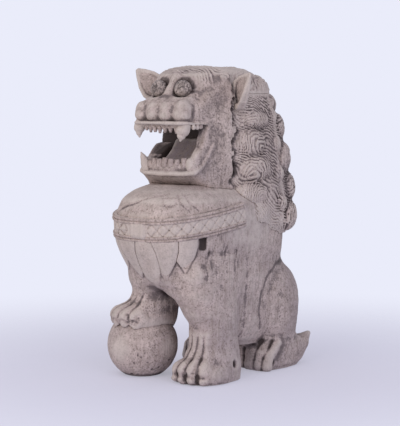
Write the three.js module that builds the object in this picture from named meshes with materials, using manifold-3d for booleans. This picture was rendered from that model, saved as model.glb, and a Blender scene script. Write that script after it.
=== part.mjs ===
// A seated guardian lion, carved in limewashed softwood and joined from blocks with dowels.
// Millimetres, +Z up. The lion looks along -Y and its own left side is +X.
// The origin is on the floor, at the middle of the footprint box.
import * as THREE from "three";
import { LoftGeometry } from "three/addons/geometries/LoftGeometry.js";
import { mergeVertices } from "three/addons/utils/BufferGeometryUtils.js";
import Module from "manifold-3d";

// Fits between the blocks
const JOINT_GAP = 0.3;
const DOWEL_FIT = 0.3;
const DOWEL_RADIUS = 5;
const DOWEL_BITE = 16;
const SMALL_DOWEL_RADIUS = 2.5;
const SMALL_DOWEL_BITE = 7;

// Torso block: heights above the floor and reaches from the neck's line
const CHEST_TOP = 186;
const COLLAR_HEIGHT = 146;
const CHEST_UNDERSIDE = 86;
const BELLY_HEIGHT = 58;
const CHEST_HALF = 59;
const CHEST_REACH = 91;
const BACK_REACH = 97;
const FLANK_HALF = 44;
const SEAT_HALF = 36;
const SEAT_FRONT = 42;
const FLANK_FOOT = 29;

// Neck core, a round post that the head and the mane are fixed to
const NECK_RADIUS = 33;
const NECK_BACK = 30;
const NECK_SOCKET = 26;
const NECK_TOP = 284;
const NECK_TENON = 15;

// Head block and lower jaw
const CROWN_TOP = 300;
const HEAD_HALF = 47;
const HEAD_BACK = -4;
const CHEEK_REACH = 35;
const CHEEK_FRONT = 49.5;
const CHEEK_FRONT_HALF = 33;
const CHEEK_TOP = 268;
const CHEEK_BEVEL = 10;
const CORNER_REACH = 35;
const FAR_CORNER_REACH = 9;
const FAR_CORNER_FOOT = 219;
const BROW_REACH = 41;
const BROW_HALF = 31;
const JAW_PLANE = 209;
const CHIN_HEIGHT = 185;
const JAW_HALF = 33;
const JAW_REACH = 54;
const LIP_HEIGHT = 246;
const MUZZLE_HALF = 31;
const MUZZLE_REACH = 66;
const MUZZLE_TOP = 275;
const NOSE_LOBE_RADIUS = 8.5;
const THROAT_HALF = 25;
const MOUTH_BACK = -12;
const LOWER_LIP = 202;

// Eyes, ears, tongue and teeth
const EYE_RADIUS = 8;
const EYE_SPREAD = 15.5;
const EYE_HEIGHT = 276;
const EYE_REACH = 41.5;
const EAR_LENGTH = 40;
const EAR_WIDTH = 28;
const EAR_THICKNESS = 9;
const EAR_ROOT_HEIGHT = 262;
const EAR_TILT = 48;
const EAR_TURN = -36;
const FANG_SPREAD = 28;
const UPPER_FANG_LENGTH = 19;
const UPPER_FANG_RADIUS = 6.2;
const LOWER_FANG_LENGTH = 15;
const LOWER_FANG_RADIUS = 4.6;
const FANG_ROOT = 5;
const TOOTH_LENGTH = 6.5;
const TOOTH_RADIUS = 3.1;
const UPPER_TEETH = 7;
const LOWER_TEETH = 6;
const GUM_HEIGHT = 4;
const TONGUE_HALF = 19;
const TONGUE_LENGTH = 36;
const TONGUE_THICKNESS = 8;
const TONGUE_SLOPE = 28;

// Mane: one ring of columns of locks round the neck core, and a crown
const MANE_HALF = 60;
const MANE_REACH = 105;
const MANE_FOOT = 135;
const CROWN_PLANE = 272;
const LOCK_PROUD = 4.5;
const LOCK_SINK = 9;
const LOCK_HEIGHT = 28;
const LOCK_HALF = 18.5;

// Collar and bib on the chest
const BAND_WIDTH = 22;
const BAND_PROUD = 3;
const BAND_RISE = 13;
const ROSETTE_RADIUS = 10;
const PETAL_PROUD = 2.2;
const PETAL_LENGTH = 42;
const PETAL_HALF = 13;
const PETAL_PITCH = 22;

// Forelegs and the ball
const LEG_SPREAD = 36;
const LEG_HALF = 21.5;
const LEG_FRONT = -52;
const LEG_BACK = 5;
const PAW_BACK = 12;
const PAW_HALF = 25;
const PAW_FRONT = -62;
const PAW_HEIGHT = 30;
const TOE_RADIUS = 7.5;
const BALL_RADIUS = 34.5;
const BALL_CENTRE_HEIGHT = 29;
const BALL_FORWARD = 44;
const RAISED_PAW_FRONT = -76;
const RAISED_PAW_HEIGHT = 46;
const RAISED_HEEL = -16;
const RAISED_LEAN = 0.78;

// Hind legs and tail
const HAUNCH_SPREAD = 35;
const HAUNCH_BACK = 66;
const HAUNCH_HEIGHT = 66;
const HAUNCH_HALF = 22.5;
const HAUNCH_DEPTH = 38;
const HAUNCH_RISE = 42;
const FOOT_SPREAD = 39;
const FOOT_HALF = 16.5;
const FOOT_FRONT = 38;
const FOOT_BACK = 117;
const FOOT_HEIGHT = 30;
const CLAW_HALF = 5.4;
const CLAW_LENGTH = 13;
const CLAW_HEIGHT = 11.5;
const TAIL_RADIUS = 9;
const TAIL_TUFT = 15;
const TAIL_RISE = 92;

// Facets
const RING_POINTS = 20;
const BALL_POINTS = 18;
const LOCK_POINTS = 8;
const LOCK_BANDS = 6;
const PEG_POINTS = 12;
const TOE_POINTS = 8;
const LEG_POINTS = 16;

const wasm = await Module();
wasm.setup();

// Solids from three.js geometry
function solid(geometry) {
  const bare = geometry.index ? geometry.toNonIndexed() : geometry.clone();
  bare.deleteAttribute("normal");
  bare.deleteAttribute("uv");
  const merged = mergeVertices(bare, 1e-3);
  return new wasm.Manifold(
    new wasm.Mesh({
      numProp: 3,
      vertProperties: merged.attributes.position.array,
      triVerts: new Uint32Array(merged.index.array),
    }),
  );
}

const join = (...pieces) => pieces.reduce((sum, next) => sum.add(next));
const cut = (piece, ...tools) => tools.reduce((left, tool) => left.subtract(tool), piece);

// A point of a rounded rectangle: "square" 2 is an ellipse, and more is squarer.
function rim(angle, half, square) {
  const wave = Math.abs(angle) ** (2 / square);
  return Math.sign(angle) * wave * half;
}

// A body lofted up the Z axis from level rows. Each row has its height, front, back and half width.
function loft(rows, grow = 0, square = 2.7, points = RING_POINTS) {
  const last = rows.length - 1;
  const rings = rows.map(({ z, front, back, half, at = 0 }, i) => {
    const level = z + (i === 0 ? -grow : 0) + (i === last ? grow : 0);
    return Array.from({ length: points }, (_, j) => {
      const turn = (j / points) * 2 * Math.PI;
      const x = at + rim(Math.cos(turn), half + grow, square);
      const y = (front + back) / 2 + rim(Math.sin(turn), (back - front) / 2 + grow, square);
      return new THREE.Vector3(x, y, level);
    });
  });
  return solid(new LoftGeometry(rings, { capStart: true, capEnd: true }));
}

function ellipsoid([x, y, z], [rx, ry, rz], grow = 0, points = BALL_POINTS) {
  const round = new THREE.SphereGeometry(1, points, Math.round(points * 0.6));
  round.rotateX(Math.PI / 2).scale(rx + grow, ry + grow, rz + grow);
  return solid(round.translate(x, y, z));
}

function block(low, high) {
  const size = high.map((value, i) => value - low[i]);
  const middle = high.map((value, i) => (value + low[i]) / 2);
  return solid(new THREE.BoxGeometry(...size).translate(...middle));
}

// A round peg from one point to another, with its own radius at each end.
function peg(from, to, radius, endRadius = radius, points = PEG_POINTS) {
  const start = new THREE.Vector3(...from);
  const along = new THREE.Vector3(...to).sub(start);
  const rod = new THREE.CylinderGeometry(endRadius, radius, along.length(), points);
  const turn = new THREE.Quaternion().setFromUnitVectors(
    new THREE.Vector3(0, 1, 0),
    along.clone().normalize(),
  );
  rod.applyQuaternion(turn);
  const middle = start.addScaledVector(along, 0.5);
  return solid(rod.translate(middle.x, middle.y, middle.z));
}

const FAR = 400;
const infrontOf = (y) => block([-FAR, -FAR, -FAR], [FAR, y, FAR]);
const behind = (y) => block([-FAR, y, -FAR], [FAR, FAR, FAR]);
const above = (z) => block([-FAR, -FAR, z], [FAR, FAR, FAR]);
const below = (z) => block([-FAR, -FAR, -FAR], [FAR, FAR, z]);
const outside = (side, x) =>
  side > 0 ? block([x, -FAR, -FAR], [FAR, FAR, FAR]) : block([-FAR, -FAR, -FAR], [-x, FAR, FAR]);

// Torso: chest barrel, sloping belly and the seat on the floor, with the left flank carried lower.
function torsoForm(grow = 0) {
  const chest = COLLAR_HEIGHT * 1.027;
  const under = CHEST_UNDERSIDE;
  const top = CHEST_TOP;
  const trunk = loft(
    [
      { z: 0, front: SEAT_FRONT, back: BACK_REACH * 0.948, half: SEAT_HALF },
      { z: BELLY_HEIGHT * 0.6, front: SEAT_FRONT * 0.714, back: BACK_REACH, half: FLANK_HALF * 0.955 },
      { z: BELLY_HEIGHT, front: SEAT_FRONT * 0.095, back: BACK_REACH, half: FLANK_HALF },
      { z: under * 0.907, front: -CHEST_REACH * 0.33, back: BACK_REACH * 0.99, half: FLANK_HALF * 1.068 },
      { z: under, front: -CHEST_REACH * 0.736, back: BACK_REACH * 0.979, half: CHEST_HALF * 0.864 },
      { z: under * 1.302, front: -CHEST_REACH * 0.857, back: BACK_REACH * 0.969, half: CHEST_HALF * 0.932 },
      { z: chest * 0.907, front: -CHEST_REACH * 0.978, back: BACK_REACH * 0.969, half: CHEST_HALF },
      { z: chest * 1.027, front: -CHEST_REACH, back: BACK_REACH * 0.959, half: CHEST_HALF },
      { z: top * 0.905, front: -CHEST_REACH * 0.934, back: BACK_REACH * 0.897, half: CHEST_HALF * 0.949 },
      { z: top * 0.963, front: -CHEST_REACH * 0.802, back: BACK_REACH * 0.794, half: CHEST_HALF * 0.847 },
      { z: top, front: -CHEST_REACH * 0.582, back: BACK_REACH * 0.649, half: CHEST_HALF * 0.678 },
    ],
    grow,
  );
  const at = FLANK_HALF * 0.75;
  const back = SEAT_FRONT * 1.19;
  const flank = loft(
    [
      { z: FLANK_FOOT, front: SEAT_FRONT * 0.143, back, half: FLANK_HALF * 0.18, at },
      { z: BELLY_HEIGHT * 0.862, front: -SEAT_FRONT * 0.095, back, half: FLANK_HALF * 0.23, at },
      { z: under, front: -SEAT_FRONT * 0.19, back, half: FLANK_HALF * 0.23, at },
    ],
    grow,
    2.4,
    14,
  );
  return join(trunk, flank);
}

function neckForm(grow = 0) {
  const foot = MANE_FOOT + LOCK_HEIGHT - NECK_SOCKET;
  const radius = NECK_RADIUS + grow;
  const at = (height) => [0, NECK_BACK, height];
  const post = peg(at(foot - grow), at(CROWN_PLANE + grow), radius, radius, RING_POINTS);
  const tenon = peg(at(CROWN_PLANE - NECK_RADIUS), at(NECK_TOP + grow), NECK_TENON + grow);
  return join(post, tenon);
}

// Columns of locks: the sector that each takes round the neck core, in degrees from +X towards the back.
// The locks' heights are shares of the way from the mane's foot up to the crown.
const FRONT_LOCKS = [0.153, 0.307, 0.474, 0.664, 0.818];
const BACK_LOCKS = [0.131, 0.328, 0.54, 0.752, 0.92];
const COLUMNS = [
  { name: "mane_left_front", from: -62, to: 22, middle: -18, heights: FRONT_LOCKS },
  { name: "mane_left_back", from: 22, to: 64, middle: 35, heights: BACK_LOCKS },
  { name: "mane_back", from: 64, to: 116, middle: 90, heights: BACK_LOCKS },
  { name: "mane_right_back", from: 116, to: 158, middle: 145, heights: BACK_LOCKS },
  { name: "mane_right_front", from: 158, to: 242, middle: 198, heights: FRONT_LOCKS },
];
const CROWN_LOCKS = [5, 34, 90, 146, 175];

// Mane: a ring round the neck core with its locks, before it is divided into columns
const MANE_SQUARE = 2.3;
const MANE_FRONT = -NECK_RADIUS * 0.73;
const MANE_LEVELS = [
  { z: MANE_FOOT, front: NECK_RADIUS * 0.27, back: MANE_REACH * 0.886, half: MANE_HALF * 0.9 },
  { z: MANE_FOOT * 1.104, front: -NECK_RADIUS * 0.18, back: MANE_REACH * 0.975, half: MANE_HALF * 1.02 },
  { z: CHEST_TOP * 1.075, front: MANE_FRONT, back: MANE_REACH * 0.962, half: MANE_HALF * 0.967 },
  { z: LIP_HEIGHT, front: MANE_FRONT, back: MANE_REACH * 0.812, half: MANE_HALF * 0.9 },
  { z: CROWN_PLANE, front: MANE_FRONT, back: MANE_REACH * 0.657, half: MANE_HALF * 0.817 },
  { z: CROWN_TOP * 0.967, front: MANE_FRONT, back: MANE_REACH * 0.524, half: MANE_HALF * 0.69 },
  { z: CROWN_TOP * 0.987, front: -NECK_RADIUS * 0.7, back: MANE_REACH * 0.448, half: MANE_HALF * 0.583 },
  { z: CROWN_TOP, front: -NECK_RADIUS * 0.6, back: MANE_REACH * 0.352, half: MANE_HALF * 0.44 },
];
const maneRing = (grow) => loft(MANE_LEVELS, grow, MANE_SQUARE);

// The mane's middle, depth and half width at a height
function maneAt(height) {
  const above = MANE_LEVELS.findIndex(({ z }) => z >= height);
  const [lower, upper] = MANE_LEVELS.slice(above - 1, above + 1);
  const share = (height - lower.z) / (upper.z - lower.z);
  const [front, back, half] = ["front", "back", "half"].map((key) =>
    THREE.MathUtils.lerp(lower[key], upper[key], share),
  );
  return { middle: (front + back) / 2, depth: (back - front) / 2, half };
}

// A lock sunk into the mane's surface, which it stands a little proud of
function lockAt(degrees, height, rise, grow) {
  const { middle, depth, half } = maneAt(height);
  const bend = (part) => Math.sign(part) * Math.abs(part) ** (2 / MANE_SQUARE);
  const x = half * bend(Math.cos(THREE.MathUtils.degToRad(degrees)));
  const y = middle + depth * bend(Math.sin(THREE.MathUtils.degToRad(degrees)));
  const turn = Math.atan2(y - NECK_BACK, x);
  const sunk = LOCK_SINK - LOCK_PROUD;
  const round = new THREE.SphereGeometry(1, LOCK_POINTS, LOCK_BANDS).rotateX(Math.PI / 2);
  round.scale(LOCK_SINK + grow, LOCK_HALF + grow, rise + grow).rotateZ(turn);
  return solid(round.translate(x - sunk * Math.cos(turn), y - sunk * Math.sin(turn), height));
}

function maneForm(grow = 0) {
  const climb = CROWN_PLANE - MANE_FOOT;
  const locks = COLUMNS.flatMap(({ middle, heights }) =>
    heights.map((share) => lockAt(middle, MANE_FOOT + climb * share, LOCK_HEIGHT / 2, grow)),
  );
  const curls = CROWN_LOCKS.map((turn) =>
    lockAt(turn, CROWN_PLANE + LOCK_PROUD, LOCK_HEIGHT * 0.45, grow),
  );
  const tufts = cut(join(...locks, ...curls), torsoForm(JOINT_GAP - grow));
  return join(maneRing(grow), tufts).intersect(behind(HEAD_BACK - grow));
}

function sector(from, to) {
  const slack = JOINT_GAP / NECK_RADIUS / 2;
  const start = THREE.MathUtils.degToRad(from) + slack;
  const end = THREE.MathUtils.degToRad(to) - slack;
  const fan = new THREE.Shape();
  fan.moveTo(0, 0);
  for (let i = 0; i <= 4; i++) {
    const turn = start + ((end - start) * i) / 4;
    fan.lineTo(FAR * Math.cos(turn), FAR * Math.sin(turn));
  }
  const wedge = new THREE.ExtrudeGeometry(fan, { depth: FAR, bevelEnabled: false });
  return solid(wedge.translate(0, NECK_BACK, 0));
}

const maneColumn = ({ from, to }) => maneForm().intersect(sector(from, to)).intersect(below(CROWN_PLANE));
const maneCrown = () => maneForm().intersect(above(CROWN_PLANE + JOINT_GAP));

// Head: cranium, brow, muzzle, nose lobes and flat cheeks that widen towards the mane
function headForm(grow = 0) {
  const nape = CHEEK_REACH * 0.57;
  const skull = loft(
    [
      { z: CHIN_HEIGHT, front: -CHEEK_REACH * 0.714, back: nape, half: HEAD_HALF * 0.809 },
      { z: CHIN_HEIGHT * 1.065, front: -CHEEK_REACH * 0.943, back: nape, half: HEAD_HALF * 0.957 },
      { z: LIP_HEIGHT, front: -CHEEK_REACH, back: nape, half: HEAD_HALF },
      { z: EYE_HEIGHT, front: -CHEEK_REACH, back: nape, half: HEAD_HALF * 0.957 },
      { z: CROWN_TOP * 0.973, front: -CHEEK_REACH * 0.771, back: nape, half: HEAD_HALF * 0.83 },
      { z: CROWN_TOP, front: -CHEEK_REACH * 0.371, back: CHEEK_REACH * 0.46, half: HEAD_HALF * 0.553 },
    ],
    grow,
    2.1,
  );
  const brow = loft(
    [
      { z: LIP_HEIGHT, front: -BROW_REACH * 0.872, back: HEAD_BACK, half: BROW_HALF },
      { z: EYE_HEIGHT * 0.971, front: -BROW_REACH, back: HEAD_BACK, half: BROW_HALF },
      { z: EYE_HEIGHT * 1.032, front: -BROW_REACH * 0.979, back: HEAD_BACK, half: BROW_HALF },
      { z: CROWN_TOP * 0.98, front: -BROW_REACH * 0.83, back: HEAD_BACK, half: BROW_HALF * 0.871 },
      { z: CROWN_TOP * 0.997, front: -BROW_REACH * 0.574, back: HEAD_BACK, half: BROW_HALF * 0.613 },
    ],
    grow,
    3,
    18,
  );
  const back = -CHEEK_REACH * 0.714;
  const muzzle = loft(
    [
      { z: LIP_HEIGHT, front: -MUZZLE_REACH * 0.955, back, half: MUZZLE_HALF },
      { z: LIP_HEIGHT * 1.033, front: -MUZZLE_REACH, back, half: MUZZLE_HALF },
      { z: LIP_HEIGHT * 1.069, front: -MUZZLE_REACH, back, half: MUZZLE_HALF * 0.935 },
      { z: MUZZLE_TOP * 0.982, front: -MUZZLE_REACH * 0.879, back, half: MUZZLE_HALF * 0.806 },
      { z: MUZZLE_TOP, front: -MUZZLE_REACH * 0.758, back, half: MUZZLE_HALF * 0.613 },
    ],
    grow,
    3.2,
    18,
  );
  const plan = new THREE.Shape();
  plan.moveTo(-CHEEK_FRONT_HALF - grow, -CHEEK_FRONT - grow);
  plan.lineTo(CHEEK_FRONT_HALF + grow, -CHEEK_FRONT - grow);
  plan.lineTo(HEAD_HALF + grow, nape);
  plan.lineTo(-HEAD_HALF - grow, nape);
  const bevel = { bevelThickness: CHEEK_BEVEL * 1.4, bevelSize: CHEEK_BEVEL, bevelOffset: -CHEEK_BEVEL };
  const foot = CHIN_HEIGHT - grow + bevel.bevelThickness;
  const depth = CHEEK_TOP + grow - bevel.bevelThickness - foot;
  const wedge = new THREE.ExtrudeGeometry(plan, { depth, bevelSegments: 2, ...bevel });
  const cheeks = solid(wedge.translate(0, 0, foot));
  const lobes = [-1.5, -0.5, 0.5, 1.5].map((step) =>
    ellipsoid(
      [step * NOSE_LOBE_RADIUS * 1.8, -MUZZLE_REACH * 0.94, LIP_HEIGHT + NOSE_LOBE_RADIUS * 1.3],
      [NOSE_LOBE_RADIUS * 0.9, NOSE_LOBE_RADIUS * 0.7, NOSE_LOBE_RADIUS],
      grow,
      LOCK_POINTS,
    ),
  );
  return join(skull, brow, muzzle, cheeks, ...lobes).intersect(infrontOf(HEAD_BACK - JOINT_GAP + grow));
}

// The mouth runs through from side to side in front of its corners, and narrows into a throat.
// Its right corner is carved further back than its left.
const mouthHollow = () =>
  join(
    block([-FAR, -FAR, FAR_CORNER_FOOT], [-THROAT_HALF, -FAR_CORNER_REACH, LIP_HEIGHT]),
    block([-FAR, -FAR, LOWER_LIP], [FAR, -CORNER_REACH, LIP_HEIGHT]),
    block([-THROAT_HALF, -FAR, LOWER_LIP], [THROAT_HALF, MOUTH_BACK, LIP_HEIGHT - GUM_HEIGHT]),
  );

function lowerJawForm(grow = 0) {
  const chin = loft(
    [
      { z: CHIN_HEIGHT, front: -JAW_REACH * 0.767, back: JAW_REACH * 0.167, half: JAW_HALF * 0.714 },
      { z: CHIN_HEIGHT * 1.032, front: -JAW_REACH * 0.933, back: JAW_REACH * 0.167, half: JAW_HALF * 0.914 },
      { z: LOWER_LIP * 0.975, front: -JAW_REACH, back: JAW_REACH * 0.167, half: JAW_HALF },
      { z: LOWER_LIP, front: -JAW_REACH * 0.983, back: JAW_REACH * 0.167, half: JAW_HALF },
    ],
    grow,
    3.2,
  );
  const cheeks = headForm(grow).intersect(below(JAW_PLANE - JOINT_GAP + grow));
  return join(chin, cheeks).intersect(infrontOf(HEAD_BACK - JOINT_GAP + grow));
}

// Eyes: turned balls glued into sockets
const eyeAt = (side) => [side * EYE_SPREAD, -EYE_REACH, EYE_HEIGHT];
const eye = (side, grow = 0) =>
  ellipsoid(eyeAt(side), [EYE_RADIUS, EYE_RADIUS, EYE_RADIUS], grow, 14);

// Ears: cupped leaves on small dowels let into the mane, leaning out behind the temples
function earFrame(side) {
  const turn = new THREE.Matrix4().makeRotationZ(side * THREE.MathUtils.degToRad(EAR_TURN));
  const lean = new THREE.Matrix4().makeRotationY(side * THREE.MathUtils.degToRad(EAR_TILT));
  const frame = turn.multiply(lean);
  frame.setPosition(side * HEAD_HALF * 0.98, HEAD_BACK + EAR_THICKNESS * 0.67, EAR_ROOT_HEIGHT);
  return frame;
}

function ear(side, grow = 0) {
  const leaf = new THREE.Shape();
  const half = EAR_WIDTH / 2 + grow;
  leaf.moveTo(0, -EAR_LENGTH * 0.12 - grow);
  leaf.quadraticCurveTo(half * 1.5, EAR_LENGTH * 0.3, 0, EAR_LENGTH + grow);
  leaf.quadraticCurveTo(-half * 1.5, EAR_LENGTH * 0.3, 0, -EAR_LENGTH * 0.12 - grow);
  const depth = EAR_THICKNESS + 2 * grow;
  const plate = new THREE.ExtrudeGeometry(leaf, { depth, bevelEnabled: false, curveSegments: 6 });
  plate.translate(0, 0, -depth / 2).rotateX(Math.PI / 2);
  const whole = solid(plate.applyMatrix4(earFrame(side)));
  if (grow > 0) return whole;
  const cup = new THREE.SphereGeometry(1, 10, 8);
  cup.scale(EAR_WIDTH * 0.34, EAR_THICKNESS * 0.6, EAR_LENGTH * 0.36);
  cup.translate(0, -EAR_THICKNESS / 2, EAR_LENGTH * 0.42);
  return cut(whole, solid(cup.applyMatrix4(earFrame(side))));
}

function earDowel(side, grow = 0) {
  const frame = earFrame(side);
  const from = new THREE.Vector3(0, 1, -SMALL_DOWEL_BITE * 1.5).applyMatrix4(frame).toArray();
  const to = new THREE.Vector3(0, 1, SMALL_DOWEL_BITE).applyMatrix4(frame).toArray();
  return peg(from, to, SMALL_DOWEL_RADIUS + grow);
}

// Teeth: a strip with pointed teeth between the fangs, above and below. "out" is -1 for the upper row.
function toothRow(count, spread, reach, root, out, grow = 0) {
  const box = (from, to) =>
    block(
      [-spread - grow, -reach - grow, Math.min(from, to) - grow],
      [spread + grow, -reach + 2 * TOOTH_RADIUS + grow, Math.max(from, to) + grow],
    );
  const buried = root - out * GUM_HEIGHT;
  const tip = root + out * TOOTH_LENGTH;
  if (grow > 0) return box(buried, tip);
  const pitch = (2 * spread) / count;
  const teeth = Array.from({ length: count }, (_, i) => {
    const x = -spread + pitch * (i + 0.5);
    const y = -reach + TOOTH_RADIUS;
    return peg([x, y, root - out], [x, y, tip], TOOTH_RADIUS * 0.92, TOOTH_RADIUS * 0.35, 8);
  });
  return join(box(buried, root), ...teeth);
}

const upperTeeth = (grow = 0) =>
  toothRow(UPPER_TEETH, FANG_SPREAD - UPPER_FANG_RADIUS * 1.16, MUZZLE_REACH * 0.924, LIP_HEIGHT, -1, grow);
const lowerTeeth = (grow = 0) =>
  toothRow(LOWER_TEETH, FANG_SPREAD - LOWER_FANG_RADIUS * 2.4, JAW_REACH * 0.917, LOWER_LIP, 1, grow);

function fang(side, upper, grow = 0) {
  const x = side * (upper ? FANG_SPREAD : FANG_SPREAD * 0.89);
  const y = upper ? -MUZZLE_REACH * 0.879 : -JAW_REACH * 0.867;
  const radius = upper ? UPPER_FANG_RADIUS : LOWER_FANG_RADIUS;
  const root = upper ? LIP_HEIGHT : LOWER_LIP;
  const out = upper ? -1 : 1;
  const length = upper ? UPPER_FANG_LENGTH : LOWER_FANG_LENGTH;
  const stub = peg([x, y, root], [x, y, root - out * (FANG_ROOT + grow)], radius * 0.7 + grow);
  if (grow > 0) return stub;
  const spike = peg([x, y, root + out * JOINT_GAP], [x, y, root + out * length], radius, radius * 0.15);
  const neck = peg([x, y, root - out], [x, y, root + out], radius * 0.7);
  return join(stub, neck, spike);
}

// Tongue: a flat slip of wood that slopes up from the lower teeth into the throat
function tongueForm(grow = 0) {
  const slip = new THREE.SphereGeometry(1, 16, 8);
  slip.scale(TONGUE_HALF + grow, TONGUE_LENGTH / 2 + grow, TONGUE_THICKNESS + grow);
  slip.rotateX(THREE.MathUtils.degToRad(TONGUE_SLOPE));
  return solid(slip.translate(0, MOUTH_BACK - TONGUE_LENGTH * 0.4, LOWER_LIP + TONGUE_THICKNESS * 0.88));
}

// Collar band: a strap round the chest that rises towards the mane
function collarSlab(width) {
  const reach = CHEST_REACH + BACK_REACH;
  const slope = Math.atan2(BAND_RISE, CHEST_REACH);
  const slab = new THREE.BoxGeometry(4 * reach, 4 * reach, width);
  slab.rotateX(slope).translate(0, 0, COLLAR_HEIGHT + BAND_RISE);
  return solid(slab);
}

const collarBand = () =>
  cut(
    torsoForm(BAND_PROUD + JOINT_GAP).intersect(collarSlab(BAND_WIDTH)),
    torsoForm(JOINT_GAP),
    behind(HEAD_BACK - JOINT_GAP),
  );

const rosetteForm = (grow = 0) =>
  ellipsoid(
    [0, -CHEST_REACH - BAND_PROUD, COLLAR_HEIGHT],
    [ROSETTE_RADIUS, (BAND_PROUD * 4) / 3, BAND_WIDTH * 0.42],
    grow,
    16,
  );

// Bib: pointed petals that hang below the band, the middle one on top
const PETALS = [
  { name: "bib_petal_middle", step: 0, reach: 1 },
  { name: "bib_petal_left_inner", step: 1, reach: 0.78 },
  { name: "bib_petal_right_inner", step: -1, reach: 0.78 },
  { name: "bib_petal_left_outer", step: 2, reach: 0.72 },
  { name: "bib_petal_right_outer", step: -2, reach: 0.72 },
];

function petalPrism({ step, reach }, grow = 0) {
  const leaf = new THREE.Shape();
  const half = PETAL_HALF + grow;
  const tip = -PETAL_LENGTH * reach - grow;
  leaf.moveTo(-half * 0.8, BAND_WIDTH);
  leaf.lineTo(-half * 0.8, 0);
  leaf.quadraticCurveTo(-half * 1.3, tip * 0.55, 0, tip);
  leaf.quadraticCurveTo(half * 1.3, tip * 0.55, half * 0.8, 0);
  leaf.lineTo(half * 0.8, BAND_WIDTH);
  const prism = new THREE.ExtrudeGeometry(leaf, { depth: FAR, bevelEnabled: false, curveSegments: 8 });
  prism.rotateX(Math.PI / 2).translate(step * PETAL_PITCH, 0, COLLAR_HEIGHT - BAND_WIDTH / 2);
  return solid(prism);
}

function petal(which) {
  const proud = PETAL_PROUD + JOINT_GAP;
  const sheet = torsoForm(proud).intersect(petalPrism(which));
  const covered = PETALS.filter(({ step }) => Math.abs(step) < Math.abs(which.step)).map((over) =>
    petalPrism(over, JOINT_GAP),
  );
  const bandRoom = collarSlab(BAND_WIDTH + 2 * JOINT_GAP);
  const overBand = collarSlab(BAND_WIDTH).translate(0, 0, BAND_WIDTH);
  return cut(sheet, torsoForm(JOINT_GAP), bandRoom, overBand, behind(LEG_FRONT), ...covered);
}

// Forelegs: the left stands on the floor, the right is raised on the ball
function toes([x, y, z], half, radii, grow) {
  const steps = [-0.75, -0.25, 0.25, 0.75];
  return steps.map((step) => ellipsoid([x + step * half, y, z], radii, grow, TOE_POINTS));
}

function leftForeleg(grow = 0) {
  const at = LEG_SPREAD;
  const column = loft(
    [
      { z: 0, front: PAW_FRONT * 0.935, back: PAW_BACK * 0.92, half: PAW_HALF * 0.96, at },
      { z: PAW_HEIGHT * 0.5, front: PAW_FRONT, back: PAW_BACK, half: PAW_HALF, at },
      { z: PAW_HEIGHT, front: PAW_FRONT * 0.887, back: PAW_BACK * 0.75, half: PAW_HALF * 0.92, at },
      { z: PAW_HEIGHT * 1.467, front: LEG_FRONT * 0.981, back: PAW_BACK * 0.5, half: LEG_HALF, at },
      { z: CHEST_UNDERSIDE * 0.767, front: LEG_FRONT, back: LEG_BACK, half: LEG_HALF, at },
      { z: CHEST_UNDERSIDE * 1.163, front: LEG_FRONT * 1.077, back: LEG_BACK, half: LEG_HALF * 0.86, at },
    ],
    grow,
    2.3,
    LEG_POINTS,
  );
  const tips = [at, PAW_FRONT * 0.968, TOE_RADIUS * 0.9];
  const toe = [TOE_RADIUS * 0.86, TOE_RADIUS * 1.25, TOE_RADIUS];
  return join(column, ...toes(tips, PAW_HALF, toe, grow)).intersect(above(0));
}

const ballCentre = [-LEG_SPREAD, -BALL_FORWARD, BALL_CENTRE_HEIGHT];
const ballForm = (grow = 0) =>
  ellipsoid(ballCentre, [BALL_RADIUS, BALL_RADIUS, BALL_RADIUS], grow).intersect(above(0));

function rightForeleg(grow = 0) {
  const at = -LEG_SPREAD;
  const wrist = at * RAISED_LEAN;
  const sole = RAISED_PAW_HEIGHT;
  const front = LEG_FRONT * 1.077;
  const column = loft(
    [
      { z: sole, front: RAISED_PAW_FRONT * 0.947, back: RAISED_HEEL, half: PAW_HALF * 0.92, at },
      { z: sole * 1.26, front: RAISED_PAW_FRONT, back: RAISED_HEEL * 0.75, half: PAW_HALF, at },
      { z: sole * 1.52, front: RAISED_PAW_FRONT * 0.816, back: RAISED_HEEL * 0.5, half: PAW_HALF * 0.84, at },
      { z: sole * 1.74, front, back: RAISED_HEEL * 0.3, half: LEG_HALF * 0.814, at: wrist },
      { z: CHEST_UNDERSIDE * 1.163, front, back: RAISED_HEEL * 0.125, half: LEG_HALF * 0.86, at: wrist },
    ],
    grow,
    2.3,
    LEG_POINTS,
  );
  const tips = [at, RAISED_PAW_FRONT * 0.96, sole + TOE_RADIUS * 0.8];
  const toe = [TOE_RADIUS * 0.86, TOE_RADIUS * 1.25, TOE_RADIUS];
  return join(column, ...toes(tips, PAW_HALF, toe, grow));
}

// Hind legs: an upright haunch let into the torso, and a long foot flat on the floor
const haunchForm = (side, grow = 0) =>
  ellipsoid(
    [side * HAUNCH_SPREAD, HAUNCH_BACK, HAUNCH_HEIGHT],
    [HAUNCH_HALF, HAUNCH_DEPTH, HAUNCH_RISE],
    grow,
  ).intersect(outside(side, HAUNCH_SPREAD - HAUNCH_HALF * 0.6 - grow));

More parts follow.
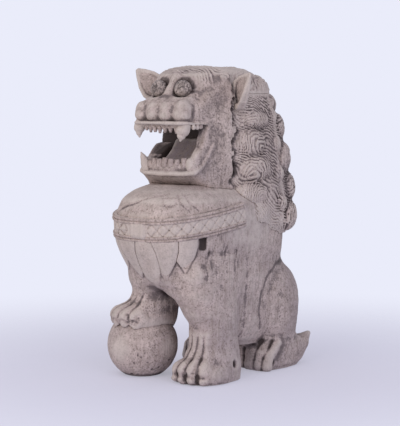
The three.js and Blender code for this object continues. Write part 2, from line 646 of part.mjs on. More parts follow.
function footForm(side, grow = 0) {
  const at = side * FOOT_SPREAD;
  const body = loft(
    [
      { z: 0, front: FOOT_FRONT * 1.053, back: FOOT_BACK * 0.85, half: FOOT_HALF * 0.879, at },
      { z: FOOT_HEIGHT * 0.4, front: FOOT_FRONT, back: FOOT_BACK * 0.983, half: FOOT_HALF, at },
      { z: FOOT_HEIGHT * 0.8, front: FOOT_FRONT * 1.158, back: FOOT_BACK, half: FOOT_HALF * 0.939, at },
      { z: FOOT_HEIGHT, front: FOOT_FRONT * 1.368, back: FOOT_BACK * 0.949, half: FOOT_HALF * 0.758, at },
    ],
    grow,
    2.5,
    LEG_POINTS,
  );
  const tips = [at, FOOT_FRONT * 1.2, FOOT_HEIGHT * 0.4];
  const claws = toes(tips, FOOT_HALF, [CLAW_HALF, CLAW_LENGTH, CLAW_HEIGHT], grow);
  return join(body, ...claws).intersect(above(0));
}

// The seat is cut back flat over each hind foot.
function footRebate(side) {
  const inner = FOOT_SPREAD - FOOT_HALF * 1.12 - JOINT_GAP;
  return outside(side, inner).intersect(below(FOOT_HEIGHT + JOINT_GAP));
}

// Tail: a rope of wood that climbs the back and ends in a tuft
function tailForm(grow = 0) {
  const line = BACK_REACH * 1.041;
  const front = line - TAIL_RADIUS;
  const stem = loft(
    [
      { z: TAIL_RISE * 0.09, front, back: line + TAIL_RADIUS, half: TAIL_RADIUS },
      { z: TAIL_RISE * 0.45, front, back: line + TAIL_RADIUS * 1.111, half: TAIL_RADIUS * 0.889 },
      { z: TAIL_RISE * 0.62, front: line - TAIL_TUFT * 0.6, back: line + TAIL_TUFT * 0.8, half: TAIL_TUFT },
      { z: TAIL_RISE * 0.85, front: line - TAIL_TUFT * 0.7, back: line + TAIL_TUFT * 0.9, half: TAIL_TUFT },
      { z: TAIL_RISE * 1.174, front, back: line + TAIL_RADIUS * 0.45, half: TAIL_RADIUS * 0.55 },
    ],
    grow,
    2,
    18,
  );
  return stem;
}

// Dowels across the joints
const shoulderDowel = (side, grow = 0) => {
  const y = side > 0 ? (LEG_FRONT + LEG_BACK) / 2 : LEG_FRONT * 0.5;
  const joint = CHEST_UNDERSIDE * 0.977;
  return peg(
    [side * LEG_SPREAD, y, joint - DOWEL_BITE - grow],
    [side * LEG_SPREAD, y, joint + DOWEL_BITE + grow],
    DOWEL_RADIUS + grow,
  );
};
const hipDowel = (side, grow = 0) => {
  const inner = HAUNCH_SPREAD - HAUNCH_HALF * 0.6;
  return peg(
    [side * (inner - DOWEL_BITE - grow), HAUNCH_BACK * 0.94, HAUNCH_HEIGHT * 1.12],
    [side * (inner + DOWEL_BITE + grow), HAUNCH_BACK * 0.94, HAUNCH_HEIGHT * 1.12],
    DOWEL_RADIUS + grow,
  );
};
const ankleDowel = (side, grow = 0) =>
  peg(
    [side * FOOT_SPREAD, HAUNCH_BACK, FOOT_HEIGHT - DOWEL_BITE - grow],
    [side * FOOT_SPREAD, HAUNCH_BACK, FOOT_HEIGHT + DOWEL_BITE + grow],
    DOWEL_RADIUS + grow,
  );
const ballDowel = (grow = 0) => {
  const [x, y, z] = ballCentre;
  const joint = z + BALL_RADIUS;
  return peg([x, y, joint - DOWEL_BITE - grow], [x, y, joint + DOWEL_BITE + grow], DOWEL_RADIUS + grow);
};
const crossDowel = (height, grow = 0) =>
  peg(
    [0, HEAD_BACK - DOWEL_BITE * 0.5 - grow, height],
    [0, HEAD_BACK + DOWEL_BITE + grow, height],
    DOWEL_RADIUS + grow,
  );
const headDowel = (grow = 0) => crossDowel((LIP_HEIGHT + EYE_HEIGHT) / 2, grow);
const jawDowel = (grow = 0) => crossDowel((CHIN_HEIGHT + JAW_PLANE) / 2, grow);
const tailDowel = (grow = 0) => {
  const joint = BACK_REACH * 0.979;
  const height = TAIL_RISE * 0.3;
  const from = [0, joint - DOWEL_BITE - grow, height];
  const to = [0, joint + DOWEL_BITE * 0.5 + grow, height];
  return peg(from, to, SMALL_DOWEL_RADIUS + grow);
};

// Finishes
const limewash = new THREE.MeshStandardMaterial({ color: 0xb3a79f, roughness: 0.9, metalness: 0 });
const shadedWood = new THREE.MeshStandardMaterial({ color: 0x8d8480, roughness: 0.9, metalness: 0 });
const eyePaint = new THREE.MeshStandardMaterial({ color: 0x6b6560, roughness: 0.45, metalness: 0 });
const dowelWood = new THREE.MeshStandardMaterial({ color: 0xa8835c, roughness: 0.75, metalness: 0 });

function mesh(name, piece, material = limewash) {
  const made = piece.getMesh();
  const geometry = new THREE.BufferGeometry();
  geometry.setAttribute("position", new THREE.BufferAttribute(made.vertProperties, 3));
  geometry.setIndex(new THREE.BufferAttribute(made.triVerts, 1));
  geometry.computeVertexNormals();
  const node = new THREE.Mesh(geometry, material);
  node.name = name;
  return node;
}

const SIDES = [
  { name: "left", side: 1 },
  { name: "right", side: -1 },
];
const both = (make) => SIDES.map(({ side }) => make(side));
const gap = JOINT_GAP;
const bore = DOWEL_FIT;

// Assembly, from the seat up
const carving = new THREE.Group();
const neckRoom = join(maneRing(gap).intersect(behind(HEAD_BACK - gap)), neckForm(gap));

carving.add(
  mesh(
    "torso",
    cut(
      torsoForm(),
      neckRoom,
      ...both((s) => haunchForm(s, gap)),
      ...both(footRebate),
      tailForm(gap),
      ...both((s) => shoulderDowel(s, bore)),
      ...both((s) => hipDowel(s, bore)),
      tailDowel(bore),
    ),
  ),
  mesh("neck_core", cut(neckForm(), headDowel(bore), jawDowel(bore)), dowelWood),
  mesh("tail", cut(tailForm(), maneForm(gap), tailDowel(bore))),
);

for (const column of COLUMNS) {
  const ears = both((s) => ear(s, gap));
  const earBores = both((s) => earDowel(s, bore));
  carving.add(mesh(column.name, cut(maneColumn(column), neckForm(gap), ...ears, ...earBores)));
}
carving.add(mesh("mane_crown", cut(maneCrown(), neckForm(gap), ...both((s) => ear(s, gap)))));

carving.add(
  mesh(
    "head",
    cut(
      headForm().intersect(above(JAW_PLANE)),
      mouthHollow(),
      tongueForm(gap),
      ...both((s) => eye(s, gap)),
      ...both((s) => ear(s, gap)),
      ...both((s) => fang(s, true, gap)),
      upperTeeth(gap),
      headDowel(bore),
    ),
  ),
  mesh(
    "lower_jaw",
    cut(
      lowerJawForm(),
      torsoForm(gap),
      mouthHollow(),
      tongueForm(gap),
      lowerTeeth(gap),
      ...both((s) => fang(s, false, gap)),
      jawDowel(bore),
    ),
  ),
  mesh("tongue", cut(tongueForm(), lowerTeeth(gap)), shadedWood),
  mesh("upper_teeth", upperTeeth()),
  mesh("lower_teeth", lowerTeeth()),
);

carving.add(
  mesh("collar_band", cut(collarBand(), rosetteForm(gap))),
  mesh("collar_rosette", cut(rosetteForm(), torsoForm(gap))),
);
for (const which of PETALS) {
  const room = [rosetteForm(gap), leftForeleg(gap), rightForeleg(gap)];
  carving.add(mesh(which.name, cut(petal(which), ...room)));
}

carving.add(
  mesh("foreleg_left", cut(leftForeleg(), torsoForm(gap), shoulderDowel(1, bore))),
  mesh(
    "foreleg_right",
    cut(rightForeleg(), torsoForm(gap), ballForm(gap), shoulderDowel(-1, bore), ballDowel(bore)),
  ),
  mesh("ball", cut(ballForm(), ballDowel(bore))),
  mesh("ball_dowel", ballDowel(), dowelWood),
  mesh("head_dowel", headDowel(), dowelWood),
  mesh("jaw_dowel", jawDowel(), dowelWood),
  mesh("tail_dowel", tailDowel(), dowelWood),
);

for (const { name, side } of SIDES) {
  const haunchRoom = [footForm(side, gap), hipDowel(side, bore), ankleDowel(side, bore)];
  carving.add(
    mesh(`eye_${name}`, eye(side), eyePaint),
    mesh(`ear_${name}`, cut(ear(side), earDowel(side, bore))),
    mesh(`upper_fang_${name}`, fang(side, true)),
    mesh(`lower_fang_${name}`, fang(side, false)),
    mesh(`haunch_${name}`, cut(haunchForm(side), ...haunchRoom)),
    mesh(`hind_foot_${name}`, cut(footForm(side), ankleDowel(side, bore))),
    mesh(`ear_dowel_${name}`, earDowel(side), dowelWood),
    mesh(`shoulder_dowel_${name}`, shoulderDowel(side), dowelWood),
    mesh(`hip_dowel_${name}`, hipDowel(side), dowelWood),
    mesh(`ankle_dowel_${name}`, ankleDowel(side), dowelWood),
  );
}

// Stand the footprint's middle on the origin.
const footprint = new THREE.Box3().setFromObject(carving);
carving.position.y = -(footprint.min.y + footprint.max.y) / 2;

const lion = new THREE.Group();
lion.add(carving);
export default lion;
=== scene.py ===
import math

import bmesh
import bpy
import numpy as np
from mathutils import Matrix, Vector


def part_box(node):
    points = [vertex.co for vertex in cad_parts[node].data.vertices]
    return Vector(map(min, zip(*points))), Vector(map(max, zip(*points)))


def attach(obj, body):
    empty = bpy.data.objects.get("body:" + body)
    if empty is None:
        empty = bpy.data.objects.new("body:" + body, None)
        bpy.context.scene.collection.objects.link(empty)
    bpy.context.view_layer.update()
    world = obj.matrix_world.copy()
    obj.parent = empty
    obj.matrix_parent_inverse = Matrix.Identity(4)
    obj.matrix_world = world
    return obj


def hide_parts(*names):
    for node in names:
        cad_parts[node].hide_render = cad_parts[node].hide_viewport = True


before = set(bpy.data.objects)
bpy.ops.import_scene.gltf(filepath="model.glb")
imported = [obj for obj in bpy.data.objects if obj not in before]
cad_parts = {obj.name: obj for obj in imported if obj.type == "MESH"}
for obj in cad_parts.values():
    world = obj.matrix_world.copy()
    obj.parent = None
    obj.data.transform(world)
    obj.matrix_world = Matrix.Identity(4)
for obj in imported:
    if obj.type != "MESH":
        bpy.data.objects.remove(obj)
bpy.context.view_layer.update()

import openvdb


# Body: the seat, chest, haunches and legs of the figure, in limewashed softwood.
# The legs, haunches and hind feet are blocks glued on with dowels and carved together with the
# trunk, so one carving is made here and then sawn apart along those joints.
MM = 0.001
BALL_MIDDLE = (-36.0, -44.0, 29.0)
BALL_RADIUS = 34.5
ball_low, ball_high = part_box("ball")
FRAME_SHIFT = 0.5 * (ball_low[1] + ball_high[1]) / MM - BALL_MIDDLE[1]


def soft_least(first, second, soft):
    """The lesser of two distances, with the corner between them rounded over a softness in mm."""
    soft = np.maximum(soft, 1e-3)
    share = np.clip(0.5 + 0.5 * (second - first) / soft, 0.0, 1.0)
    return second + (first - second) * share - soft * share * (1.0 - share)


def fade(off, width):
    """How much of a cut or a stain is left this far from it: 1 on it, falling to 0 around it."""
    return np.exp(-((off / width) ** 2))


def ramp(value, start, end):
    """A share that goes from 0 at one level to 1 at another."""
    return np.clip((value - start) / (end - start), 0, 1)


class Blank:
    """A blank of wood as a grid in mm; each point holds its distance from the surface, less than 0 inside."""

    FAR = 30.0

    def __init__(self, low, high, pitch):
        self.pitch = pitch
        self.axes = [np.arange(start, end, pitch, dtype=np.float32) for start, end in zip(low, high)]
        self.corner = np.array([axis[0] for axis in self.axes])
        self.depth = np.full([len(axis) for axis in self.axes], self.FAR, dtype=np.float32)

    def grid(self):
        """The coordinates of the points, each along its own side of the grid."""
        return np.ix_(*self.axes)

    def around(self, form, margin):
        """The part of the grid round a form, and its coordinates."""
        spans = []
        for axis, start, end in zip(self.axes, form[1], form[2]):
            first = int(np.searchsorted(axis, start - margin))
            spans.append(slice(first, int(np.searchsorted(axis, end + margin))))
        return tuple(spans), np.ix_(*[axis[span] for axis, span in zip(self.axes, spans)])

    def add(self, form, soft=0.0):
        spans, places = self.around(form, soft + 3 * self.pitch)
        self.depth[spans] = soft_least(self.depth[spans], form[0](*places), soft)

    def cut(self, form, soft=0.0):
        spans, places = self.around(form, soft + 3 * self.pitch)
        self.depth[spans] = -soft_least(-self.depth[spans], form[0](*places), soft)

    def keep(self, distance, soft=0.0):
        self.depth = -soft_least(-self.depth, -distance(*self.grid()), soft)

    def near(self, form, width):
        """The part of the grid round a form, and how near each point is to it."""
        spans, places = self.around(form, 3 * width)
        return spans, fade(np.maximum(form[0](*places), 0.0), width)

    def press(self, form, depth, width):
        """A groove of this depth along a line, or a ridge where the depth is less than 0."""
        spans, share = self.near(form, width)
        self.depth[spans] += depth * share

    def stain(self, hollows, form, amount, width):
        """Old dirt along a line, kept with the hollows."""
        spans, share = self.near(form, width)
        hollows[spans] += amount * share

    def lay(self, points, step=2.5):
        """Points along a line, moved on to the surface that has been carved so far."""
        points = np.array(points, dtype=float)
        run = np.concatenate(([0.0], np.cumsum(np.linalg.norm(np.diff(points, axis=0), axis=1))))
        along = np.linspace(0.0, run[-1], int(run[-1] / step) + 2)
        places = np.stack([np.interp(along, run, points[:, side]) for side in range(3)], 1)
        for _ in range(6):
            cell = np.round((places - self.corner) / self.pitch).astype(int)
            cell = np.clip(cell, 1, np.array(self.depth.shape) - 2)
            slope = np.empty_like(places)
            for side, unit in enumerate(np.eye(3, dtype=int)):
                rise = self.depth[tuple((cell + unit).T)] - self.depth[tuple((cell - unit).T)]
                slope[:, side] = rise / (2 * self.pitch)
            steep = np.maximum((slope**2).sum(1, keepdims=True), 0.2)
            places -= self.depth[tuple(cell.T)][:, None] * slope / steep
        return places

    def score(self, line, thick, depth, width, step=2.5):
        """Cut a groove along a line laid on the surface, and give back its form."""
        groove = path(self.lay(line, step), thick)
        self.press(groove, depth, width)
        return groove

    def hollows(self):
        """How far each point lies in a hollow: the mean depth round it, near by and wider."""
        found = np.zeros_like(self.depth)
        for reach, weight in ((1.6, 1.0), (5.0, 0.35)):
            steps = max(1, round(reach / self.pitch))
            window = 2 * steps + 1
            mean = np.clip(self.depth, -2 * reach, 2 * reach)
            for side in range(3):
                edges = [(0, 0)] * 3
                edges[side] = (steps + 1, steps)
                total = np.cumsum(np.pad(mean, edges, "edge"), side, dtype=np.float64)
                count = mean.shape[side]
                upper = total.take(range(window, window + count), side)
                mean = ((upper - total.take(range(count), side)) / window).astype(np.float32)
            found -= weight * mean
        return found


def egg(middle, radii):
    """An egg-shaped lump."""
    middle = np.array(middle, dtype=np.float32)
    radii = np.array(radii, dtype=np.float32)

    def distance(x, y, z):
        parts = [(place - centre) / radius for place, centre, radius in zip((x, y, z), middle, radii)]
        inner = np.sqrt(sum(part**2 for part in parts))
        slope = np.sqrt(sum((part / radius) ** 2 for part, radius in zip(parts, radii)))
        return inner * (inner - 1.0) / np.maximum(slope, 1e-4)

    return distance, middle - radii, middle + radii


def path(points, radii):
    """A round rod along points, its radius changing from point to point."""
    points = np.array(points, dtype=np.float32)
    radii = np.broadcast_to(np.array(radii, dtype=np.float32), len(points))

    def distance(x, y, z):
        least = None
        for start, end, thick, thin in zip(points[:-1], points[1:], radii[:-1], radii[1:]):
            run = end - start
            reach = max(float(run @ run), 1e-6)
            share = ((x - start[0]) * run[0] + (y - start[1]) * run[1] + (z - start[2]) * run[2]) / reach
            share = np.clip(share, 0.0, 1.0)
            off = (x - start[0] - share * run[0]) ** 2 + (y - start[1] - share * run[1]) ** 2
            off = np.sqrt(off + (z - start[2] - share * run[2]) ** 2) - (thick + (thin - thick) * share)
            least = off if least is None else np.minimum(least, off)
        return least

    return distance, points.min(0) - radii.max(), points.max(0) + radii.max()


def flowing(level, knots, values):
    """A smooth curve through the values at the knots, without overshoot."""
    steps = np.diff(knots)
    slopes = np.diff(values) / steps
    product = slopes[1:] * slopes[:-1]
    total = slopes[1:] + slopes[:-1]
    tangents = np.concatenate((slopes[:1], 0 * product, slopes[-1:]))
    rising = product > 0
    tangents[1:-1][rising] = 2 * product[rising] / total[rising]
    level = np.clip(level, knots[0], knots[-1])
    place = np.clip(np.searchsorted(knots, level, side="right") - 1, 0, len(knots) - 2)
    step = steps[place]
    share = (level - knots[place]) / step
    back = 1.0 - share
    start = (1 + 2 * share) * back**2 * values[place] + share * back**2 * step * tangents[place]
    end = share**2 * (3 - 2 * share) * values[place + 1] - share**2 * back * step * tangents[place + 1]
    return start + end


def trunk(rows, square, at=0.0):
    """An upright block with rounded corners: rows of height, front, back, half width and sideways lean."""
    heights, fronts, backs, halves, *leans = np.array(rows, dtype=np.float32).T
    lean = leans[0] if leans else 0 * heights

    def distance(x, y, z):
        front, back, half, shift = [flowing(z, heights, values) for values in (fronts, backs, halves, lean)]
        x = x - shift
        middle = 0.5 * (front + back)
        across = np.abs((x - at) / half) ** square
        along = np.abs((y - middle) / (0.5 * (back - front))) ** square
        ring = np.maximum((across + along) ** (1.0 / square), 0.02)
        side = np.hypot(x - at, y - middle) * (1.0 - 1.0 / ring)
        return np.maximum(side, np.maximum(heights[0] - z, z - heights[-1])).astype(np.float32)

    low = (at + (lean - halves).min(), fronts.min(), heights[0])
    return distance, low, (at + (lean + halves).max(), backs.max(), heights[-1])


def brick(low, high, rounding):
    """A block with rounded edges between two corners."""
    low = np.array(low, dtype=np.float32)
    high = np.array(high, dtype=np.float32)
    middle = 0.5 * (low + high)
    half = 0.5 * (high - low) - rounding

    def distance(x, y, z):
        over = [np.abs(place - centre) - size for place, centre, size in zip((x, y, z), middle, half)]
        outside = np.sqrt(sum(np.maximum(part, 0.0) ** 2 for part in over))
        inside = np.minimum(np.maximum(over[0], np.maximum(over[1], over[2])), 0.0)
        return outside + inside - rounding

    return distance, low, high


def waver(blank, size, seed):
    """Uneven hand work over a blank: smooth random swells of about this size in mm, from -1 to 1."""
    cells = [int((axis[-1] - axis[0]) / size) + 5 for axis in blank.axes]
    field = np.random.default_rng(seed).uniform(-2.2, 2.2, cells).astype(np.float32)
    for axis in blank.axes:
        place = (axis - axis[0]) / size + 1.0
        first = place.astype(int)
        share = place - first
        weights = np.zeros((len(axis), field.shape[0]), dtype=np.float32)
        row = np.arange(len(axis))
        weights[row, first - 1] = (1 - share) ** 3 / 6
        weights[row, first] = (3 * share**3 - 6 * share**2 + 4) / 6
        weights[row, first + 1] = (-3 * share**3 + 3 * share**2 + 3 * share + 1) / 6
        weights[row, first + 2] = share**3 / 6
        field = np.moveaxis(np.tensordot(weights, field, axes=(1, 0)), 0, -1)
    return field


def placed(name, data):
    """A new object in the scene."""
    made = bpy.data.objects.new(name, data)
    bpy.context.scene.collection.objects.link(made)
    return made


def carved(name, blank):
    """The surface of a blank as a plain closed mesh, in the frame's own metres."""
    grid = openvdb.FloatGrid(background=Blank.FAR)
    grid.copyFromArray(np.ascontiguousarray(blank.depth, dtype=np.float32))
    points, quads = grid.convertToQuads(isovalue=0.0)
    places = ((blank.corner + (0.0, FRAME_SHIFT, 0.0) + points * blank.pitch) * MM).astype(np.float32)
    mesh = bpy.data.meshes.new(name)
    mesh.vertices.add(len(places))
    mesh.vertices.foreach_set("co", places.ravel())
    mesh.loops.add(4 * len(quads))
    mesh.loops.foreach_set("vertex_index", quads.astype(np.int32).ravel())
    mesh.polygons.add(len(quads))
    mesh.polygons.foreach_set("loop_start", np.arange(0, 4 * len(quads), 4, dtype=np.int32))
    mesh.update(calc_edges=True)
    mesh.validate()
    return placed(name, mesh)


def mark_hollows(piece, blank, hollows):
    """Keep each vertex's value from the grid of hollows, dirt and painted shade as an attribute that the
    limewash reads.
    """
    mesh = piece.data
    places = np.empty(3 * len(mesh.vertices), dtype=np.float32)
    mesh.vertices.foreach_get("co", places)
    places = places.reshape(-1, 3) / MM - (0.0, FRAME_SHIFT, 0.0)
    place = np.clip((places - blank.corner) / blank.pitch, 0, np.array(hollows.shape) - 1.001)
    first = place.astype(int)
    share = place - first
    value = np.zeros(len(place))
    for step in np.ndindex(2, 2, 2):
        weight = np.prod(np.where(step, share, 1 - share), axis=1)
        value += weight * hollows[tuple((first + step).T)]
    mesh.attributes.new("hollow", "FLOAT", "POINT").data.foreach_set("value", value.astype(np.float32))
    mesh.shade_smooth()


def settled(piece, change):
    """Keep the result of a modifier as the piece's plain mesh."""
    ready = piece.evaluated_get(bpy.context.evaluated_depsgraph_get())
    mesh = bpy.data.meshes.new_from_object(ready)
    piece.modifiers.remove(change)
    piece.data = mesh
    return mesh


def sawn(name, whole, saw, operation):
    """A copy of a carving with the saw's block kept or taken away."""
    piece = placed(name, whole.data.copy())
    split = piece.modifiers.new("saw", "BOOLEAN")
    split.operation = operation
    split.object = saw
    split.solver = "MANIFOLD"
    settled(piece, split).name = name
    return piece


def saw_block(low, high):
    """A plain box that guides the saw, in mm."""
    mesh = bpy.data.meshes.new("saw")
    form = bmesh.new()
    bmesh.ops.create_cube(form, size=1.0)
    for vertex in form.verts:
        for side in range(3):
            vertex.co[side] = MM * (high[side] if vertex.co[side] > 0 else low[side])
        vertex.co[1] += MM * FRAME_SHIFT
    form.to_mesh(mesh)
    form.free()
    return placed("saw", mesh)


def hue(code):
    """A colour written as sRGB hex, in linear light."""
    parts = [int(code[i : i + 2], 16) / 255 for i in (1, 3, 5)]
    return [p / 12.92 if p <= 0.04045 else ((p + 0.055) / 1.055) ** 2.4 for p in parts] + [1.0]


def add_node(tree, kind, inputs=None, **settings):
    """Add one node with its settings, each input given a value or linked from another node's socket."""
    made = tree.nodes.new(kind)
    for name, value in settings.items():
        setattr(made, name, value)
    for name, value in (inputs or {}).items():
        if isinstance(value, bpy.types.NodeSocket):
            tree.links.new(value, made.inputs[name])
        else:
            made.inputs[name].default_value = value
    return made


def raw_material(name):
    """A new material with its empty node tree, and the object coordinates that its pattern lies on."""
    made = bpy.data.materials.new(name)
    made.use_nodes = True
    made.node_tree.nodes.clear()
    return made, made.node_tree, add_node(made.node_tree, "ShaderNodeTexCoord").outputs["Object"]


def limewash(name, pale, grey, dirt):
    """Limewashed pine, carved by hand: chalky and matt, thin over the grain, with dirt left in the cuts and
    painted shade where its hollow attribute carries it.
    """
    wood, tree, place = raw_material(name)
    hollow = add_node(tree, "ShaderNodeAttribute", attribute_name="hollow").outputs["Fac"]
    # sizes in mm: patches of thicker wash, a wider violet veil, upright grain fifteen times as long as it is
    # wide, brush dabs, and grit drawn coarser than it is so that it shows
    lie = add_node(tree, "ShaderNodeMapping", {"Vector": place, "Scale": (1.0, 1.0, 0.07)})
    noises = []
    for size, look in (
        (28, {"Detail": 4.0}),
        (60, {"Detail": 2.0}),
        (2.4, {"Detail": 5.0, "Distortion": 0.4, "Vector": lie.outputs[0]}),
        (5, {"Detail": 5.0, "Roughness": 0.7}),
        (1.6, {"Detail": 3.0}),
    ):
        inputs = {"Vector": place, "Scale": 1 / (size * MM)} | look
        noises.append(add_node(tree, "ShaderNodeTexNoise", inputs).outputs["Fac"])
    patch, veil, grain, dab, grit = noises
    dusty = add_node(tree, "ShaderNodeMath", {0: grit, 1: 0.5}, operation="MULTIPLY")
    depth = add_node(tree, "ShaderNodeMath", {0: hollow, 1: dusty.outputs[0]}, operation="ADD").outputs[0]
    # coats laid over each other; worn ridges are rubbed paler, and dirt in the cuts, with the painted shade
    # that the hollow attribute carries alongside it, is broken up by the grit
    colour = hue(pale)
    for value, start, end, most, coat, course in (
        (patch, 0.36, 0.64, 1.0, grey, "LINEAR"),
        (veil, 0.45, 0.7, 0.4, "#988c93", "LINEAR"),
        (grain, 0.5, 0.72, 0.6, "#85766c", "LINEAR"),
        (dab, 0.4, 0.66, 0.55, "#8f8279", "LINEAR"),
        (grit, 0.52, 0.68, 0.75, "#776a62", "LINEAR"),
        (hollow, -0.05, -0.6, 0.6, "#d0c5bc", "LINEAR"),
        (depth, 0.28, 0.62, 0.9, dirt, "SMOOTHSTEP"),
        (depth, 0.58, 1.1, 0.9, "#3b312e", "SMOOTHSTEP"),
    ):
        span = {"Value": value, "From Min": start, "From Max": end, "To Max": most}
        share = add_node(tree, "ShaderNodeMapRange", span, interpolation_type=course).outputs[0]
        mixed = add_node(tree, "ShaderNodeMix", {0: share, 6: colour, 7: hue(coat)}, data_type="RGBA")
        colour = mixed.outputs[2]
    rough = add_node(tree, "ShaderNodeMapRange", {"Value": grit, "To Min": 0.95, "To Max": 0.74})
    lift = add_node(tree, "ShaderNodeMath", {0: grain, 1: 1.5}, operation="MULTIPLY")
    height = add_node(tree, "ShaderNodeMath", {0: lift.outputs[0], 1: grit}, operation="ADD")
    relief = {"Height": height.outputs[0], "Strength": 0.5, "Distance": 0.5 * MM}
    bump = add_node(tree, "ShaderNodeBump", relief)
    look = {"Base Color": colour, "Roughness": rough.outputs[0], "Normal": bump.outputs[0]}
    finish = add_node(tree, "ShaderNodeBsdfPrincipled", look | {"Specular IOR Level": 0.25})
    add_node(tree, "ShaderNodeOutputMaterial", {"Surface": finish.outputs[0]})
    return wood


limewashed_pine = limewash("limewashed_pine", "#cebdb6", "#bcaba5", "#756a68")


def fit(piece, node, finish=limewashed_pine, slot="limewashed_wood"):
    """Give a piece its finish and let it stand for its block of the frame."""
    piece.data.materials.clear()
    piece.data.materials.append(finish)
    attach(piece, "root")
    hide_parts(node)


def finished(name, blank, node, hollows, *looks):
    """Carve a blank out as a piece, with its dirt and painted shade, and fit it."""
    piece = carved(name, blank)
    mark_hollows(piece, blank, hollows)
    fit(piece, node, *looks)


def saw_apart(blank, hollows, cuts, rest_node):
    """Carve a blank, saw blocks off it along the joints, and fit each block and what is left."""
    rest = carved("carved_" + rest_node, blank)
    blocks = []
    for node, low, high in cuts:
        whole = rest
        guide = saw_block(low, high)
        blocks.append((sawn("carved_" + node, whole, guide, "INTERSECT"), node))
        rest = sawn("carved_" + rest_node, whole, guide, "DIFFERENCE")
        bpy.data.objects.remove(whole)
        bpy.data.objects.remove(guide)
    rest.name = "carved_" + rest_node
    for block, node in blocks + [(rest, rest_node)]:
        mark_hollows(block, blank, hollows)
        block.data.set_sharp_from_angle(angle=math.radians(60))
        fit(block, node)


CHEST_ROWS = (
    (0, 42, 92, 36),
    (35, 30, 97, 42),
    (58, 4, 97, 44),
    (78, -24, 96, 47),
    (87, -54, 95, 50),
    (95, -69, 95, 52.5),
    (112, -79, 94, 55),
    (136, -89, 94, 59),
    (154, -91, 93, 59),
    (171, -85, 87, 55),
    (180, -72, 77, 47),
    (186, -54, 63, 36),
)
FLANK_ROWS = ((27, 19, 50, 5), (36, 8, 50, 12), (52, 0, 50, 16.5), (86, -6, 50, 17.5), (122, -10, 50, 9))
STANDING_LEG_ROWS = (
    (-2, -58, 6, 22.5),
    (13, -61, 7, 23.5),
    (25, -54.5, 5.5, 21.3),
    (37, -49.5, 4, 19.3),
    (50, -49.5, 2.5, 19),
    (68, -51, 2, 19.5),
    (84, -54, 3, 19.5),
    (100, -56, 4, 18.5),
    (114, -52, 2, 15),
)
RAISED_LEG_ROWS = (
    (44, -66, -14, 23.5, -34.5),
    (55, -70, -10, 26.5, -34),
    (64, -68, -8, 24.5, -32),
    (74, -63, -5, 21, -27),
    (86, -62, -2, 18, -25),
    (112, -60, 0, 18, -24),
)
HIND_FOOT_ROWS = (
    (-2, 38, 97, 14),
    (8, 37, 109, 16.5),
    (18, 39, 113, 16.5),
    (24, 43, 108, 15.5),
    (30, 48, 98, 13),
)
HIND_TOES = ((20.5, 38, 4.2), (31.5, 35.5, 7.4), (43.5, 35.5, 5.0), (51.5, 36.5, 5.2))
HIND_TOE_CUTS = (
    ((24, 36, 1), (24, 37, 12), (23.5, 43, 22)),
    ((38.8, 35, 1), (39, 36, 10), (40, 41, 19), (41, 48, 28)),
    ((47.6, 37, 1), (48, 39, 10), (48.8, 45, 19), (49, 52, 28)),
)
HEEL = ((40, 96, 14), (43, 108, 20), (45.5, 117.5, 28))
CHEST_SQUARE = 2.7
GLUE_GAP = 0.3
chest_form = trunk(CHEST_ROWS, CHEST_SQUARE)


def mirrored(line, side):
    """Points on the left of the figure, or their mirror on the right where the side is -1."""
    return [(across * side, back, height) for across, back, height in line]


body = Blank((-66, -97, -3), (66, 125, 197), 1.05)
body.add(chest_form)
body.add(trunk(FLANK_ROWS, 2.4, 33), soft=9)
# haunches and hocks, and the hind feet with their heels and toes
for side in (1, -1):
    body.add(egg((35 * side, 66, 66), (22.5, 38, 42)), soft=6)
    body.add(egg((38 * side, 73, 40), (17.5, 25, 30)), soft=7)
    body.add(trunk(HIND_FOOT_ROWS, 2.5, 39 * side), soft=5)
    body.add(path(mirrored(HEEL, side), (12, 8.5, 2.6)), soft=5)
    for toe, forward, half in HIND_TOES:
        start = forward + half
        ridge = ((toe, start, 5), (toe + 0.5, start + 3, 15), (toe + 2, start + 15, 26))
        body.add(path(mirrored(ridge, side), (half + 0.3, half, 0.3 * half)), soft=7)
toe_cuts = []
for side in (1, -1):
    for line in HIND_TOE_CUTS:
        toe_cuts.append(body.score(mirrored(line, side), 0.3, 1.2, 1.2))


def add_toes(toes, lumps):
    """Toes of a forepaw: each lump has its way back from the toe's front, height, radii and softness."""
    for toe, forward, _ in toes:
        for back, height, radii, soft in lumps:
            body.add(egg((toe, forward + back, height), radii), soft=soft)


# standing leg, with two muscles above it and a bulge at its heel; each toe has its place, front and wrist
body.add(trunk(STANDING_LEG_ROWS, 2.3, 36), soft=12)
body.add(path(((12, -58, 100), (23, -53, 87), (30, -46, 70)), (15, 11, 8)), soft=12)
body.add(path(((40, -54, 104), (40, -49, 88), (38, -42, 72)), (12, 12, 11)), soft=12)
STANDING_TOES = ((19.5, -57, 27), (30, -60, 35), (40.5, -59.5, 43), (51, -54.5, 51))
add_toes(STANDING_TOES, ((4, 10, (6.6, 9.5, 10.5), 6.0), (-1.0, 4.8, (5.2, 5.2, 4.8), 2.4)))
body.add(egg((55, -38, 8), (7, 15, 9)), soft=4)
# raised leg, with the paw's pad and the shoulder
body.add(trunk(RAISED_LEG_ROWS, 2.3), soft=8)
body.add(egg((-37, -52, 57), (24.5, 23, 14)), soft=6)
body.add(egg((-20, -46, 96), (22, 24, 16)), soft=8)
RAISED_TOES = ((-54, -61, -33), (-44.5, -67, -27), (-34, -69, -21), (-23.5, -66.5, -14))
add_toes(RAISED_TOES, ((2.5, 57, (6.6, 8.5, 8.5), 6.0), (-0.5, 51, (5.0, 5.0, 5.0), 2.4)))
